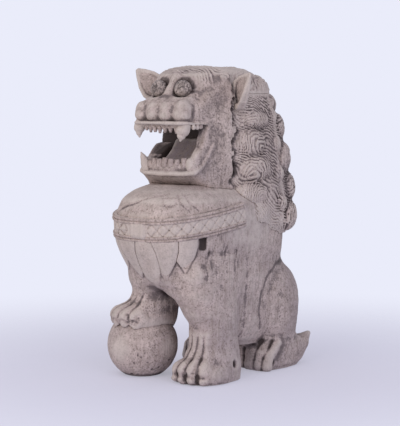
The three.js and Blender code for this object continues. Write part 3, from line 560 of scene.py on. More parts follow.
# shallow ridges run down each paw to its toes, with a cut above each nail and chisel cuts between the toes
PAWS = ((STANDING_TOES, -51, (46, 27, 13), (9, 2)), (RAISED_TOES, -62, (84, 72, 60), (57, 47)))
NAIL = ((-4.5, -4, -2.5), (0, -6, 0), (4.5, -4, -2.5))
paw_cuts = []
for toes, wrist_front, (top, knuckle, end), (split, tip) in PAWS:
    for toe, forward, wrist in toes:
        bend = (0.5 * (toe + wrist), forward + 4, knuckle)
        body.score(((wrist, wrist_front, top), bend, (toe, forward - 3, end)), 0.6, -0.5, 2.2)
        nail = [(toe + across, forward + back, split + rise) for across, back, rise in NAIL]
        paw_cuts.append(body.score(nail, 0.3, 0.9, 1.0))
    for inner, outer in zip(toes[:-1], toes[1:]):
        toe, forward, wrist = [0.5 * (first + second) for first, second in zip(inner, outer)]
        bend = (0.5 * (toe + wrist), forward + 4, knuckle)
        line = ((wrist, wrist_front, top - 2), bend, (toe, forward - 3, end - 2))
        paw_cuts.append(body.score(line, 0.2, 0.65, 0.9))
        gap = path(((toe, forward - 3.0, split), (toe, forward - 4.0, tip)), 0.4)
        body.press(gap, 0.8, 1.0)
        paw_cuts.append(gap)
body.cut(egg(BALL_MIDDLE, [BALL_RADIUS + GLUE_GAP] * 3))

# creases behind the standing leg and before the haunch
LEG_CREASE = ((46, 9, 4), (47, 10, 40), (50, 9, 72), (54, 6, 100), (57, 4, 118))
HAUNCH_CREASE = ((47, 34, 43), (50, 30, 60), (50, 31, 77), (49, 39.5, 94), (47, 57, 105), (44, 76, 107.5))
body.score(LEG_CREASE, 0.3, 0.4, 1.8)
body.score(HAUNCH_CREASE, 0.3, 0.5, 1.8)
# ribbon cut into the top of the chest
for line in (
    ((22, -71, 182), (6, -80, 177), (-6, -85, 171), (-26, -84, 164)),
    ((19, -75, 180), (2, -82, 174), (-12, -86, 168), (-30, -82, 161)),
    ((34, -64, 181), (42, -66, 173), (49, -60, 165)),
    ((30, -68, 180), (37, -73, 172), (45, -68, 164)),
    ((20, -78, 176), (31, -72, 177), (35, -76, 169), (26, -82, 168), (20, -78, 176)),
):
    body.score(line, 0.2, 0.55, 0.9)
# a loose knot in the shoulder, smaller ones in the feet, chipped claws and grain torn out of the shoulder
knot = brick((48.5, -59.5, 128.0), (58.5, -53.0, 144.0), 1.6)
body.cut(knot, soft=0.8)
KNOTS = (((60.5, -17, 17), (3.0, 3.0, 4.0)), ((54.5, 46, 8), (3.5, 3.5, 4.0)))
scar = body.score(((46, -54, 109), (47, -53, 102)), 1.5, 0.7, 2.4)
for spot, size in KNOTS:
    body.cut(egg(body.lay((spot, spot))[0], size), soft=2.0)
tears = np.random.default_rng(11)
torn = []
for toes, rise in ((STANDING_TOES, 0), (RAISED_TOES, 46)):
    for _ in range(70):
        toe, forward, _ = toes[tears.integers(len(toes))]
        spot = (toe + tears.uniform(-6, 6), forward - tears.uniform(1, 5), rise + tears.uniform(2, 15))
        end = (spot[0] + tears.uniform(-2.5, 2.5), spot[1], spot[2] - tears.uniform(0, 4))
        body.score((spot, end), 0.3, tears.uniform(0.2, 0.8), 1.0)
for _ in range(120):
    along = tears.uniform(-52, 4)
    top = tears.uniform(104, 146)
    length = tears.uniform(3, 13)
    out = 58.6 - 0.0035 * (along + 2) ** 2 - 0.1 * (142 - top)
    line = ((out, along, top), (out - 1.5, along + tears.uniform(-1, 1), top - length))
    torn.append(body.score(line, 0.1, tears.uniform(0.06, 0.24), 0.8))
body.depth += 0.45 * waver(body, 15, 3) + 0.28 * waver(body, 4.5, 4) + 0.16 * waver(body, 2.6, 14)


def above_floor(x, y, z):
    """What stands on the floor has a flat foot."""
    return -z


body.keep(above_floor)

# the collar band and the bib that lie on the chest, which leave their marks on it
BAND_HALF = 11.0
BAND_SLOPE = 13.0 / 91.0
CHEST_REACH = (59, 92)
CHEST_MIDDLE = 1


def band_rise(y):
    """Height of the band's middle line: it climbs from the chest towards the mane."""
    return 146.0 + BAND_SLOPE * (y + 91.0)


outline_turn = np.radians(np.linspace(-180, 180, 721))
outline_way = np.stack((np.cos(outline_turn), np.sin(outline_turn)), 1)
outline_reach = (np.abs(outline_way / CHEST_REACH) ** CHEST_SQUARE).sum(1) ** (-1 / CHEST_SQUARE)
outline_steps = np.linalg.norm(np.diff(outline_reach[:, None] * outline_way, axis=0), axis=1)
outline_run = np.concatenate(([0], np.cumsum(outline_steps)))
outline_run -= np.interp(-math.pi / 2, outline_turn, outline_run)


def chest_run(x, y):
    """Length along the chest from its middle, in mm."""
    return np.interp(np.arctan2(y - CHEST_MIDDLE, x), outline_turn, outline_run)


LEAF_LEVELS = np.array((-0.4, 0.0, 0.25, 0.5, 0.7, 0.86, 0.95, 1.0))
LEAF_WIDTHS = {
    "round": np.array((0.6, 0.7, 0.94, 1.0, 0.95, 0.8, 0.55, 0.0)),
    "pointed": np.array((1.0, 1.0, 0.97, 0.78, 0.5, 0.26, 0.1, 0.0)),
}
# each leaf: how far it stands out, then its middle, half width, length and kind
BIB = (
    ("bib_petal_middle", 3.4, (6.5, 13.5, 45.0, "round")),
    ("bib_petal_left_inner", 2.6, (24.5, 18.5, 39.0, "pointed")),
    ("bib_petal_right_inner", 2.6, (-12.5, 18.5, 39.0, "pointed")),
    ("bib_petal_left_outer", 2.2, (48.0, 14.0, 33.0, "pointed")),
    ("bib_petal_right_outer", 2.2, (-35.0, 14.0, 33.0, "pointed")),
)


def leaf_fall(y, z, length):
    """How far down a bib leaf a point lies, as a share of its length."""
    return (band_rise(y) - BAND_HALF - z) / length


def leaf_inset(y, z, run, middle, half, length, kind):
    """How far a point lies inside the outline of a bib leaf."""
    width = np.interp(leaf_fall(y, z, length), LEAF_LEVELS, LEAF_WIDTHS[kind])
    return half * width - np.abs(run - middle)


# dirt in every cut, and the colour made darker towards the back and lighter on the flank
x, y, z = body.grid()
body_dirt_and_shade = body.hollows() + 0.1 * ramp(y, 44, 58)
body_dirt_and_shade -= 0.11 * ramp(y, -34, -18) * ramp(y, 40, 30)
for cuts, amount, width in (
    ([knot], 1.2, 1.2),
    ([scar], 0.16, 2.4),
    ([egg(spot, size) for spot, size in KNOTS], 0.25, 1.5),
    (paw_cuts, 0.06, 0.9),
    (toe_cuts, 0.3, 1.0),
    (torn, 0.04, 0.7),
):
    for cut in cuts:
        body.stain(body_dirt_and_shade, cut, amount, width)
# painted shade between the forelegs, a painted contact shadow along the floor, dirt on the heels and a
# painted shadow on the chest under the chin
between = ramp(x, -24, -2) * ramp(x, 16, 10) * ramp(y, -84, -54)
body_dirt_and_shade += 0.24 * between * ramp(z, 98, 82) * (1 + 0.4 * waver(body, 9, 17))
body_dirt_and_shade += 0.7 * ramp(z, 5, 1)
body_dirt_and_shade += 0.3 * ramp(y, 104, 111) * (z < 40) * (np.abs(x) > 26)
body_dirt_and_shade += 0.3 * ramp(np.abs(x), 42, 36) * ramp(y, -52, -42) * (y < 4) * (z > 176)
# dirt on the chest round the bib leaves and along the band
run = chest_run(x, y)
nearest = np.full(body.depth.shape, 9.0, dtype=np.float32)
for _, _, shape in BIB:
    off = np.abs(leaf_inset(y, z, run, *shape) + 0.6)
    fall = leaf_fall(y, z, shape[2])
    nearest = np.where((fall > 0) & (fall < 1.0), np.minimum(nearest, off), nearest)
body_dirt_and_shade += 0.75 * fade(nearest, 1.0) * (y < -30)
edge = np.abs(np.abs(z - band_rise(y)) - BAND_HALF)
body_dirt_and_shade += 0.5 * fade(edge, 1.0) * (y < -4)
SAW_CUTS = (
    ("foreleg_left", (9, -90, -10), (75, 10, 96)),
    ("foreleg_right", (-75, -90, 30), (-9, 0, 96)),
    ("haunch_left", (22, 28, 31), (75, 130, 110)),
    ("haunch_right", (-75, 28, 31), (-22, 130, 110)),
    ("hind_foot_left", (18, 20, -10), (75, 130, 31)),
    ("hind_foot_right", (-75, 20, -10), (-18, 130, 31)),
)
saw_apart(body, body_dirt_and_shade, SAW_CUTS, "torso")


# Ball: turned and carved from its own block of the same softwood, pitted with wear,
# flat where it stands and pinned to the raised paw by a dowel.
ball = Blank((-73, -81, -3), (1, -7, 66), 0.85)
ball.add(egg(BALL_MIDDLE, [BALL_RADIUS - GLUE_GAP] * 3))
pits = np.random.default_rng(5)
for _ in range(120):
    turn = pits.uniform(0, 2 * math.pi)
    rise = pits.uniform(-0.8, 0.9)
    ring = math.sqrt(1 - rise**2)
    way = np.array((ring * math.cos(turn), ring * math.sin(turn), rise))
    ball.cut(egg(way * (BALL_RADIUS + 0.2) + BALL_MIDDLE, [pits.uniform(0.5, 1.4)] * 3), soft=0.6)
ball.depth += 0.5 * waver(ball, 13, 6) + 0.2 * waver(ball, 4, 7)
ball.keep(above_floor)
x, y, z = ball.grid()
# painted shade on the side that the standing leg shades, and a painted contact shadow along the floor
ball_painted_shade = 0.3 * ramp(x, -24, -2) + 0.7 * ramp(z, 5, 1)
finished("carved_ball", ball, "ball", ball.hollows() + ball_painted_shade)


# Tail: a slip of the same wood pinned up the back by a dowel.
# It is carved as a rope with a flame of hair at its end.
tail = Blank((-19, 86, 3), (19, 118, 113), 0.8)
tail.add(path(((0, 99, 15), (3, 102, 30), (-3, 103, 47), (2, 104, 64), (0, 104, 78)), (7, 7.5, 7.5, 7, 7)))
for side in (1, -1):
    tail.add(path(mirrored(((4, 103, 72), (10.5, 104, 88), (7, 101, 103)), side), (5, 5, 1.2)), soft=1.5)
tail.add(path(((0, 104, 74), (0, 106, 92), (0, 102, 107)), (7, 8, 1.5)), soft=1.5)
tail.press(path(((0, 113, 76), (1, 115, 92), (0, 106, 107)), 0.5), 1.2, 1.0)
for line in (((4, 112, 76), (4, 113, 92), (1, 104, 105)), ((10, 109, 76), (12, 109, 88), (8, 104, 101))):
    for side in (-1, 1):
        tail.press(path(mirrored(line, side), 0.5), 1.2, 1.0)
for height in np.arange(20, 70, 8.0):
    tail.press(path(((-9, 106, height - 4), (0, 112, height), (9, 106, height + 4)), 1.0), 0.8, 1.2)
tail.depth += 0.3 * waver(tail, 7, 8)
finished("carved_tail", tail, "tail", tail.hollows())


# Collar: a band of thin wood bent round the chest and glued on, cut with a lattice between
# doubled cords that are laid along both its edges.
BAND_PROUD = 2.2
LATTICE = 11.5
FLOWER_RUN = -22.5
band = Blank((-68, -101, 128), (68, 2, 178), 0.7)


def band_strip(x, y, z):
    """A strip that follows the chest and stands a little out from it, as far back as the mane."""
    out = chest_form[0](x, y, z)
    edge = np.abs(z - band_rise(y)) - BAND_HALF
    strip = np.maximum(np.maximum(out - BAND_PROUD, -1.5 - out), edge)
    return np.maximum(strip, y + 4.4)


band.add((band_strip, (-64, -97, 130), (64, 0, 174)))
x, y, z = band.grid()
run = chest_run(x, y)
level = z - band_rise(y)
for lean in (1, -1):
    phase = (run + lean * level * 0.9) / LATTICE
    off = np.abs(phase - np.round(phase)) * LATTICE * 0.72
    band.depth += 1.05 * fade(off, 0.75) * (np.abs(level) < 7.6) * (np.abs(run - 1.5) > 12.0)
# a flower of four petals in a square frame beside the pad
flower_x = run - FLOWER_RUN
flower_out = np.hypot(flower_x, level)
blossom = 0.9 * np.cos(4 * np.arctan2(level, flower_x)) * fade(flower_out - 5.0, 3.2)
square = np.maximum(np.abs(flower_x), np.abs(level))
here = (square < 10.5) & (np.abs(level) < 8.0)
band.depth -= np.where(here, 0.8 * blossom + 0.8 * fade(flower_out, 2.4), 0.0)
band.depth += 0.8 * fade(square - 9.6, 0.8) * (np.abs(level) < 8.5)
band.depth += 0.22 * waver(band, 4, 9)
finished("collar_strap", band, "collar_band", band.hollows())


def new_tree(name, inputs, result):
    """A new geometry tree with its named inputs and its result, and the sockets that the inputs come from."""
    tree = bpy.data.node_groups.new(name, "GeometryNodeTree")
    for title, kind in inputs.items():
        tree.interface.new_socket(title, in_out="INPUT", socket_type="NodeSocket" + kind)
    tree.interface.new_socket(result, in_out="OUTPUT", socket_type="NodeSocketGeometry")
    return tree, add_node(tree, "NodeGroupInput").outputs


cord_inputs = {"Path": "Geometry", "Cord radius": "Float", "Finish": "Material"}
cord_tree, given = new_tree("laid_cord", cord_inputs, "Cord")
course = add_node(cord_tree, "GeometryNodeMeshToCurve", {"Mesh": given["Path"]})
ring = add_node(
    cord_tree, "GeometryNodeCurvePrimitiveCircle", {"Resolution": 10, "Radius": given["Cord radius"]}
)
swept = add_node(
    cord_tree,
    "GeometryNodeCurveToMesh",
    {"Curve": course.outputs[0], "Profile Curve": ring.outputs["Curve"], "Fill Caps": True},
)
real = add_node(cord_tree, "GeometryNodeRealizeInstances", {"Geometry": swept.outputs[0]})
cover = {"Geometry": real.outputs[0], "Material": given["Finish"]}
clad = add_node(cord_tree, "GeometryNodeSetMaterial", cover)
add_node(cord_tree, "NodeGroupOutput", {"Cord": clad.outputs[0]})

CORD_RADIUS = 1.35
cord_mesh = bpy.data.meshes.new("collar_cords")
cord_points = []
cord_edges = []
for level in (BAND_HALF - 1.2, BAND_HALF - 4.0, 4.0 - BAND_HALF, 1.2 - BAND_HALF):
    first = len(cord_points)
    for turn in np.radians(np.linspace(-176, -4, 130)):
        way = np.array((math.cos(turn), math.sin(turn)))
        place = np.array((0, CHEST_MIDDLE)) + CHEST_REACH * way
        for _ in range(12):
            height = band_rise(place[1]) + level
            gap = float(chest_form[0](place[0], place[1], np.float32(height)))
            place -= (gap - BAND_PROUD) * way
        if place[1] < -5.0:
            cord_points.append((place[0] * MM, (place[1] + FRAME_SHIFT) * MM, height * MM))
    cord_edges += [(i, i + 1) for i in range(first, len(cord_points) - 1)]
cord_mesh.from_pydata(cord_points, cord_edges, [])
cords = placed("collar_cords", cord_mesh)


def grown(piece, tree, sizes):
    """Run a node tree on a piece and keep the result as its plain mesh."""
    growth = piece.modifiers.new("growth", "NODES")
    growth.node_group = tree
    for title, value in sizes.items():
        growth[tree.interface.items_tree[title].identifier] = value
    settled(piece, growth).shade_smooth()


grown(cords, cord_tree, {"Cord radius": CORD_RADIUS * MM, "Finish": limewashed_pine})
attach(cords, "root")


# Middle pad of the collar: a rounded tablet of the same wood,
# let into the band over the breastbone.
pad = Blank((-16, -104, 130), (16, -84, 162), 0.6)
pad.add(brick((-8.0, -94.6, 137.4), (12.0, -86, 154.4), 4.2))
pad.depth += 0.4 * waver(pad, 6, 12)
finished("collar_pad", pad, "collar_rosette", pad.hollows())


# Bib: five leaves carved from thin slips of the same wood and glued on under the band,
# four of them pointed and the middle, round one on top.
BIB_MIDDLE = 2.5
for order, (node, proud, shape) in enumerate(BIB):
    across, _, length, _ = shape
    leaf = Blank((min(across * 0.8, across) - 24, -98, 86), (max(across * 0.8, across) + 24, -36, 148), 0.65)
    x, y, z = leaf.grid()
    out = chest_form[0](x, y, z)
    run = chest_run(x, y)
    edge = leaf_inset(y, z, run, *shape)
    crown = proud * (0.45 + 0.55 * np.sqrt(ramp(edge, 0.0, 6.0)))
    sheet = np.maximum(np.maximum(out - crown, -2.0 - out), -0.9 * edge)
    sheet = np.maximum(sheet, -(leaf_fall(y, z, length) + 0.05) * length)
    for _, _, other in BIB[:order]:
        if abs(other[0] - across) < 40 and abs(other[0] - BIB_MIDDLE) < abs(across - BIB_MIDDLE):
            sheet = np.maximum(sheet, leaf_inset(y, z, run, *other) + 0.5)
    leaf.depth = sheet.astype(np.float32)
    leaf.depth += 0.25 * waver(leaf, 8, 13 + order)
    finished("leaf_" + node, leaf, node, leaf.hollows())


# Head and lower jaw: one carving, sawn at the jaw line and pinned to the neck post by two dowels.
# The mouth is cut right through from cheek to cheek.
SKULL_ROWS = (
    (179, -14, 20, 36),
    (185, -24, 20, 41.5),
    (194, -30, 20, 45),
    (208, -33, 20, 47),
    (246, -34, 20, 47),
    (268, -32, 20, 46),
    (280, -31, 20, 45),
    (289, -28, 20, 42),
    (294.5, -22, 20, 36.5),
    (297.4, -15, 20, 30),
    (298.8, -8, 20, 21),
)
BROW_ROWS = (
    (246, -40, -4, 31),
    (262, -42, -4, 31),
    (276, -39, -4, 31),
    (285, -38, -4, 31),
    (290, -35.5, -4, 30),
    (292.5, -31, -4, 28),
)
MUZZLE_ROWS = (
    (244.5, -60, -22, 31),
    (254, -62, -22, 31),
    (262, -60, -22, 30),
    (267, -55, -22, 28),
    (271, -47, -22, 25),
    (274, -40, -22, 22),
)
JAW_ROWS = (
    (184, -30, 10, 18),
    (188, -40, 10, 25),
    (193, -48.5, 10, 31),
    (197, -52.5, 10, 33),
    (203, -54, 10, 33),
)
EYE_MIDDLE = (14.9, -42.8, 277.0)
head = Blank((-58, -76, 172), (58, 2, 306), 0.78)
head.add(trunk(SKULL_ROWS, 2.3))
head.add(trunk(BROW_ROWS, 2.7), soft=9)
head.add(trunk(MUZZLE_ROWS, 3.2), soft=6)
head.add(trunk(JAW_ROWS, 2.5), soft=5)


def faceted(sides, rounding, low, high):
    """A block between flat sides, each given by its outward direction and distance, with rounded edges."""

    def distance(x, y, z):
        most = None
        for across, along, up, reach in sides:
            off = across * x + along * y + up * z - reach
            most = off if most is None else -soft_least(-most, -off, rounding)
        return most

    return distance, low, high


# flat cheeks that widen from the muzzle back to the mane
CHEEK_SIDES = (
    (0.949, -0.316, 0, 46.8),
    (-0.949, -0.316, 0, 46.8),
    (0, -1, 0, 49.5),
    (0, -0.59, 0.808, 237),
    (0.749, 0, 0.661, 214.5),
    (-0.749, 0, 0.661, 214.5),
    (0, -0.6, -0.8, -127.6),
    (0, 0, -1, -180),
)
head.add(faceted(CHEEK_SIDES, 6, (-50, -52, 178), (50, 2, 290)), soft=5)
# temples hollowed between the eye ridge and the ear
for side in (1, -1):
    head.cut(egg((54 * side, -27, 268), (12, 14, 16)), soft=9)


def mouth_gap(x, y, z):
    """The open mouth, higher and further back on the right."""
    near = np.interp(z, (205, 216, 222, 235, 242), (-53, -45, -39.5, -35, -33))
    far = np.interp(z, (205, 212, 217, 223, 229), (-46, -31, -22, -12, 2))
    limit = np.where(x > -20, near, far)
    return np.maximum(np.maximum((y - limit) * 0.85, z - 243.5), 205 - z)


# the mouth is cut through, then the throat and the floor of the mouth
head.cut((mouth_gap, (-58, -76, 203), (58, 2, 245)), soft=2)
head.cut(brick((-26, -62, 206), (26.5, -10, 241), 7), soft=2)
head.cut(brick((-24, -43, 197.5), (24, -12, 222), 5), soft=2)
# nose lobes, lips and gums
for across, forward, radius in ((-24.2, -55, 8.4), (-8.2, -57, 8.0), (8.4, -57, 8.3), (24.6, -54.5, 9.0)):
    lobe = ((across, forward, 252.5), (across, forward + 1, 257.5), (0.92 * across, forward + 9, 265))
    head.add(path(lobe, (radius, 0.95 * radius, 0.5 * radius)), soft=2.2)
upper_lip = ((-42, -24, 243.5), (-35, -44, 244.5), (-31.5, -58, 245), (-27, -63, 245), (0, -64.5, 245.2))
upper_lip += ((27, -63, 245), (31.5, -58, 245), (35, -44, 244.5), (39.5, -32, 243.5))
head.add(path(upper_lip, (0.4, 1.0, 1.7, 1.8, 1.8, 1.8, 1.7, 1.0, 0.4)), soft=1.2)
head.press(path([(across, back - 0.6, height + 2.6) for across, back, height in upper_lip], 0.2), 0.7, 1.1)
head.add(path(((-24, -55, 244), (0, -57, 244), (24, -55, 244)), 4.0), soft=2.0)
near_lip = ((24, -52.5, 197), (33.2, -48.5, 198), (36.5, -40, 204), (38.6, -33.5, 214), (40.2, -28.5, 224))
far_lip = ((-24, -52.5, 197), (-33.2, -46.5, 198), (-37.5, -34, 206), (-40.5, -24.5, 215), (-42.5, -14, 222))
lower_lip = far_lip[::-1] + ((0, -55.5, 196.6),) + near_lip
head.add(path(lower_lip, (0.4, 1.0, 1.8, 2.4, 2.4, 2.4, 2.4, 2.4, 1.8, 1.0, 0.4)), soft=3.4)
lower_groove = [(across * 1.02, back - 1.0, height - 3.4) for across, back, height in lower_lip[3:-3]]
head.press(path(lower_groove, 0.4), 1.0, 1.5)
head.add(path(((-24, -42, 203), (-13, -48, 203), (13, -48, 203), (24, -42, 203)), 4.0), soft=2.0)
for side in (1, -1):
    head.add(egg((28.5 * side, -42, 205), (5.5, 9, 7.0)), soft=3.0)
    # small back teeth behind the fang
    for back, drop in ((-49, 241.0), (-44, 241.2), (-39, 241.6)):
        head.add(egg((33.5 * side, back, drop), (2.2, 2.4, 2.6)), soft=1.2)
# curl at the near corner of the mouth, with creases running down from it
CURL_END = 620
curl = []
for angle in np.radians(np.arange(20, CURL_END, 25)):
    reach = 1.0 + 5.6 * angle / math.radians(CURL_END)
    back = -27.0 + reach * math.cos(angle)
    curl.append((50 + back / 3, back, 236 + reach * math.sin(angle)))
head.score(curl, 0.2, 0.35, 0.9, step=2.0)
scribble = np.random.default_rng(29)
for _ in range(34):
    back = scribble.uniform(-33, -10)
    height = scribble.uniform(222, 246)
    out = 50 + back / 3
    end = (out, back + scribble.uniform(-5, 5), height - scribble.uniform(2, 8))
    head.score(((out, back, height), end), 0.2, scribble.uniform(0.1, 0.24), 0.9, step=2.0)
# eye sockets under the brow, with the bridge of the nose between them
head.add(path(((0, -32, 290), (0, -37.5, 282), (0, -44, 271)), (3.5, 4.2, 6.5)), soft=6)
for side in (1, -1):
    eye_spot = np.array((EYE_MIDDLE[0] * side, EYE_MIDDLE[1], EYE_MIDDLE[2]))
    head.cut(egg(eye_spot + (0, -2.5, 0.5), (8.9, 9.5, 9.6)), soft=2.4)
    head.cut(egg(eye_spot + (-3.5 * side, -2, 11.5), (2.8, 4.5, 2.6)), soft=1.0)
    head.cut(egg(eye_spot + (-8.5 * side, -3, 6.0), (1.6, 4, 3.6)), soft=0.8)
    lid = [eye_spot + off for off in ((-9, -4, -7), (0, -5, -11), (9, -3, -7))]
    head.press(path(lid, 0.3), 0.7, 1.4)
# eye ridge: the step from the muzzle down to the cheek
EYE_RIDGE = ((31, -38, 280), (33, -44, 270), (33.5, -48, 258), (33.5, -49, 247))
for side in (1, -1):
    head.press(path(mirrored(EYE_RIDGE, side), 0.4), 0.9, 2.0)


def parting(z):
    """How far back the joint between head and mane lies at each height: it wanders."""
    return -4.2 + 1.5 * np.sin(z / 5.3 + 0.7) + 1.0 * np.sin(z / 2.9 + 2.1) + 0.6 * np.sin(z / 1.7)


def above_chest(x, y, z):
    """The chest with the glue gap over it, which the head and the mane are cut to sit on."""
    return chest_form[0](x, y, z) - GLUE_GAP


# the joint with the mane is ragged and pitted
PARTING_GAP = 0.2
ragged = np.random.default_rng(23)
for _ in range(100):
    height = ragged.uniform(184, 286)
    side = ragged.choice((-1, 1))
    spot = (46.6 * side, parting(height) - ragged.uniform(0, 4.5), height)
    head.cut(egg(spot, ragged.uniform((0.8, 0.7, 1.2), (2.8, 2.6, 5.0))), soft=0.8)
# hair combed in arcs over the forehead, fading out towards the top
x, y, z = head.grid()
HAIR_PITCH = 3.2
roughness = 0.4 * waver(head, 11, 21) + 0.3 * waver(head, 3.6, 22) + 0.16 * waver(head, 2.2, 25)
hair = np.cos(2 * math.pi * np.hypot(np.abs(x) - 22, y - 6) / HAIR_PITCH + 14.0 * waver(head, 10, 24))
hairy = ramp(z, 280, 288) * ramp(y, -38, -28)
roughness += 0.55 * hair * hairy
head.depth += roughness * np.maximum(ramp(z, 301, 296), 0.3)
head.keep(lambda x, y, z: y - parting(z) + PARTING_GAP, soft=4 * ramp(z, 292, 282))
head.cut((above_chest, (-58, -76, 172), (58, 2, 192)))
# painted shade in the throat, under the jaw and in the far corner of the mouth, and dirt along the joint and
# round the eyes
head_dirt_and_shade = head.hollows() + 0.1 * np.clip(hair, 0, 1) * hairy
head_dirt_and_shade += 1.1 * ramp(y, -44, -32) * ramp(np.abs(x), 32, 28) * ((z > 200) & (z < 243))
head_dirt_and_shade += 0.3 * ramp(z, 191, 184)
head_dirt_and_shade += 1.0 * ramp(x, -20, -24) * ramp(y, -40, -30) * ((z > 214) & (z < 243))
seam = fade(y + 1.5 - parting(z), 2.0) * (np.abs(x) > 38)
head_dirt_and_shade += 1.1 * seam * (1 + waver(head, 6, 26))
for side in (1, -1):
    socket = egg((EYE_MIDDLE[0] * side, EYE_MIDDLE[1], EYE_MIDDLE[2] + 2), (9.8, 9.8, 10.6))
    head_dirt_and_shade += 0.9 * fade(np.maximum(socket[0](x, y, z), 0), 2.0)
# the temple and the cheeks made evenly darker
temple = ramp(x, 32, 35) * ramp(z, 254, 260) * ramp(z, 292, 286) * ramp(y, -44, -38) * ramp(y, -8, -14)
head_dirt_and_shade += temple * (0.2 - 0.6 * head_dirt_and_shade)
cheeks = ramp(np.abs(x), 31, 35) * ramp(y, -48, -40) * ramp(z, 262, 256)
head_dirt_and_shade += cheeks * (0.16 - 0.6 * head_dirt_and_shade)
saw_apart(head, head_dirt_and_shade, (("lower_jaw", (-80, -110, 150), (80, 40, 209)),), "head")


# Tongue: a curled slip of the same wood glued into the floor of the mouth,
# in a darker copy of the limewash: painted shade for the shadow it lies in.
shade_painted_pine = limewash("shade_painted_pine", "#8b7f83", "#776c72", "#4b4245")
tongue = Blank((-24, -54, 194), (24, -4, 236), 0.7)
TONGUE_HALF = 14.0
TONGUE_LINE = ((0, -43, 202), (0, -35, 205), (0, -27, 210), (0, -19.5, 217), (0, -14, 225))
tongue_rod = path(TONGUE_LINE, 4.2)


def tongue_slip(x, y, z):
    """A slip of even thickness along its line, spread out to both sides."""
    return tongue_rod[0](np.maximum(np.abs(x) - TONGUE_HALF, 0.0), y, z)


tongue.add((tongue_slip, (-20, -52, 196), (20, -6, 232)))
tongue.press(path([(0, back, height + 5) for _, back, height in TONGUE_LINE], 0.4), 0.3, 2.5)
tongue.depth += 0.25 * waver(tongue, 6, 31)
finished("carved_tongue", tongue, "tongue", tongue.hollows(), shade_painted_pine, "tongue_wood")


# Fangs: four whittled pegs of the same wood set into the gums,
# one on each side of both jaws.
UPPER_LEFT = ((26, -54.5, 241.5), (26, -55.5, 238.5), (25.5, -57, 233.5), (24.8, -58, 228.5))
UPPER_RIGHT = ((-27, -56, 244), (-27.5, -57, 240), (-27, -58, 235), (-26.5, -58, 231))
LOWER_LEFT = ((28, -45, 200), (28, -46, 205), (28, -47, 208), (28, -47, 209))
LOWER_RIGHT = ((-26.5, -47, 199), (-27.5, -48.5, 206), (-29, -50.5, 212), (-30, -52, 216))
FANGS = (
    ("upper_fang_left", UPPER_LEFT, (6.6, 6.8, 4.2, 0.9)),
    ("upper_fang_right", UPPER_RIGHT, (5.4, 5.4, 3.0, 1.0)),
    ("lower_fang_left", LOWER_LEFT, (5.0, 5.4, 4.4, 3.0)),
    ("lower_fang_right", LOWER_RIGHT, (5.0, 4.6, 2.8, 0.9)),
)
for order, (node, line, radii) in enumerate(FANGS):
    spots = np.array(line)
    fang = Blank(spots.min(0) - 10, spots.max(0) + 10, 0.5)
    fang.add(path(line, radii))
    fang.depth += 0.3 * waver(fang, 5, 41 + order)
    finished("whittled_" + node, fang, node, fang.hollows())


# Tooth rows: small uneven teeth cut along a strip of the same wood
# that is glued behind each lip.
tooth_inputs = {
    "Strip": "Geometry",
    "Tooth length": "Float",
    "Tooth radius": "Float",
    "Tip radius": "Float",
    "Turn": "Vector",
    "Finish": "Material",
}
tooth_tree, given = new_tree("tooth_row", tooth_inputs, "Teeth")
tooth = add_node(
    tooth_tree,
    "GeometryNodeMeshCone",
    {
        "Vertices": 10,
        "Side Segments": 3,
        "Radius Top": given["Tip radius"],
        "Radius Bottom": given["Tooth radius"],
        "Depth": given["Tooth length"],
    },
)
uneven = add_node(
    tooth_tree,
    "FunctionNodeRandomValue",
    {0: (0.8, 0.8, 0.7), 1: (1.15, 1.15, 1.3), "Seed": 3},
    data_type="FLOAT_VECTOR",
)
set_teeth = add_node(
    tooth_tree,
    "GeometryNodeInstanceOnPoints",
    {
        "Points": given["Strip"],
        "Instance": tooth.outputs["Mesh"],
        "Rotation": given["Turn"],
        "Scale": uneven.outputs[0],
    },
)
real = add_node(tooth_tree, "GeometryNodeRealizeInstances", {"Geometry": set_teeth.outputs[0]})
cover = {"Geometry": real.outputs[0], "Material": given["Finish"]}
clad = add_node(tooth_tree, "GeometryNodeSetMaterial", cover)
add_node(tooth_tree, "NodeGroupOutput", {"Teeth": clad.outputs[0]})
# each row: node, count, half width, front and height, then a tooth's length, radius, tip radius and turn
TOOTH_ROWS = (
    ("upper_teeth", 7, 18.5, -58.5, 242.0, 5.5, 3.2, 1.2, math.pi),
    ("lower_teeth", 7, 21.0, -50.8, 202.4, 7.6, 4.0, 3.0, 0.0),
)
ROW_BOW = 0.006
for node, count, half, forward, height, length, radius, tip, turn in TOOTH_ROWS:
    strip = bpy.data.meshes.new(node)
    spots = []
    for across in np.linspace(-half, half, count):
        back = forward + ROW_BOW * across**2
        spots.append((across * MM, (back + FRAME_SHIFT) * MM, height * MM))
    strip.from_pydata(spots, [], [])
    row = placed("cut_" + node, strip)
    sizes = {
        "Tooth length": length * MM,
        "Tooth radius": radius * MM,
        "Tip radius": tip * MM,
        "Turn": (turn, 0.0, 0.0),
        "Finish": limewashed_pine,
    }
    grown(row, tooth_tree, sizes)
    fit(row, node)


# Eyes: turned balls of wood pressed into the sockets,
# stained dark and worn, with a drilled pupil.
eye_paint, tree, place = raw_material("worn_dark_stain")
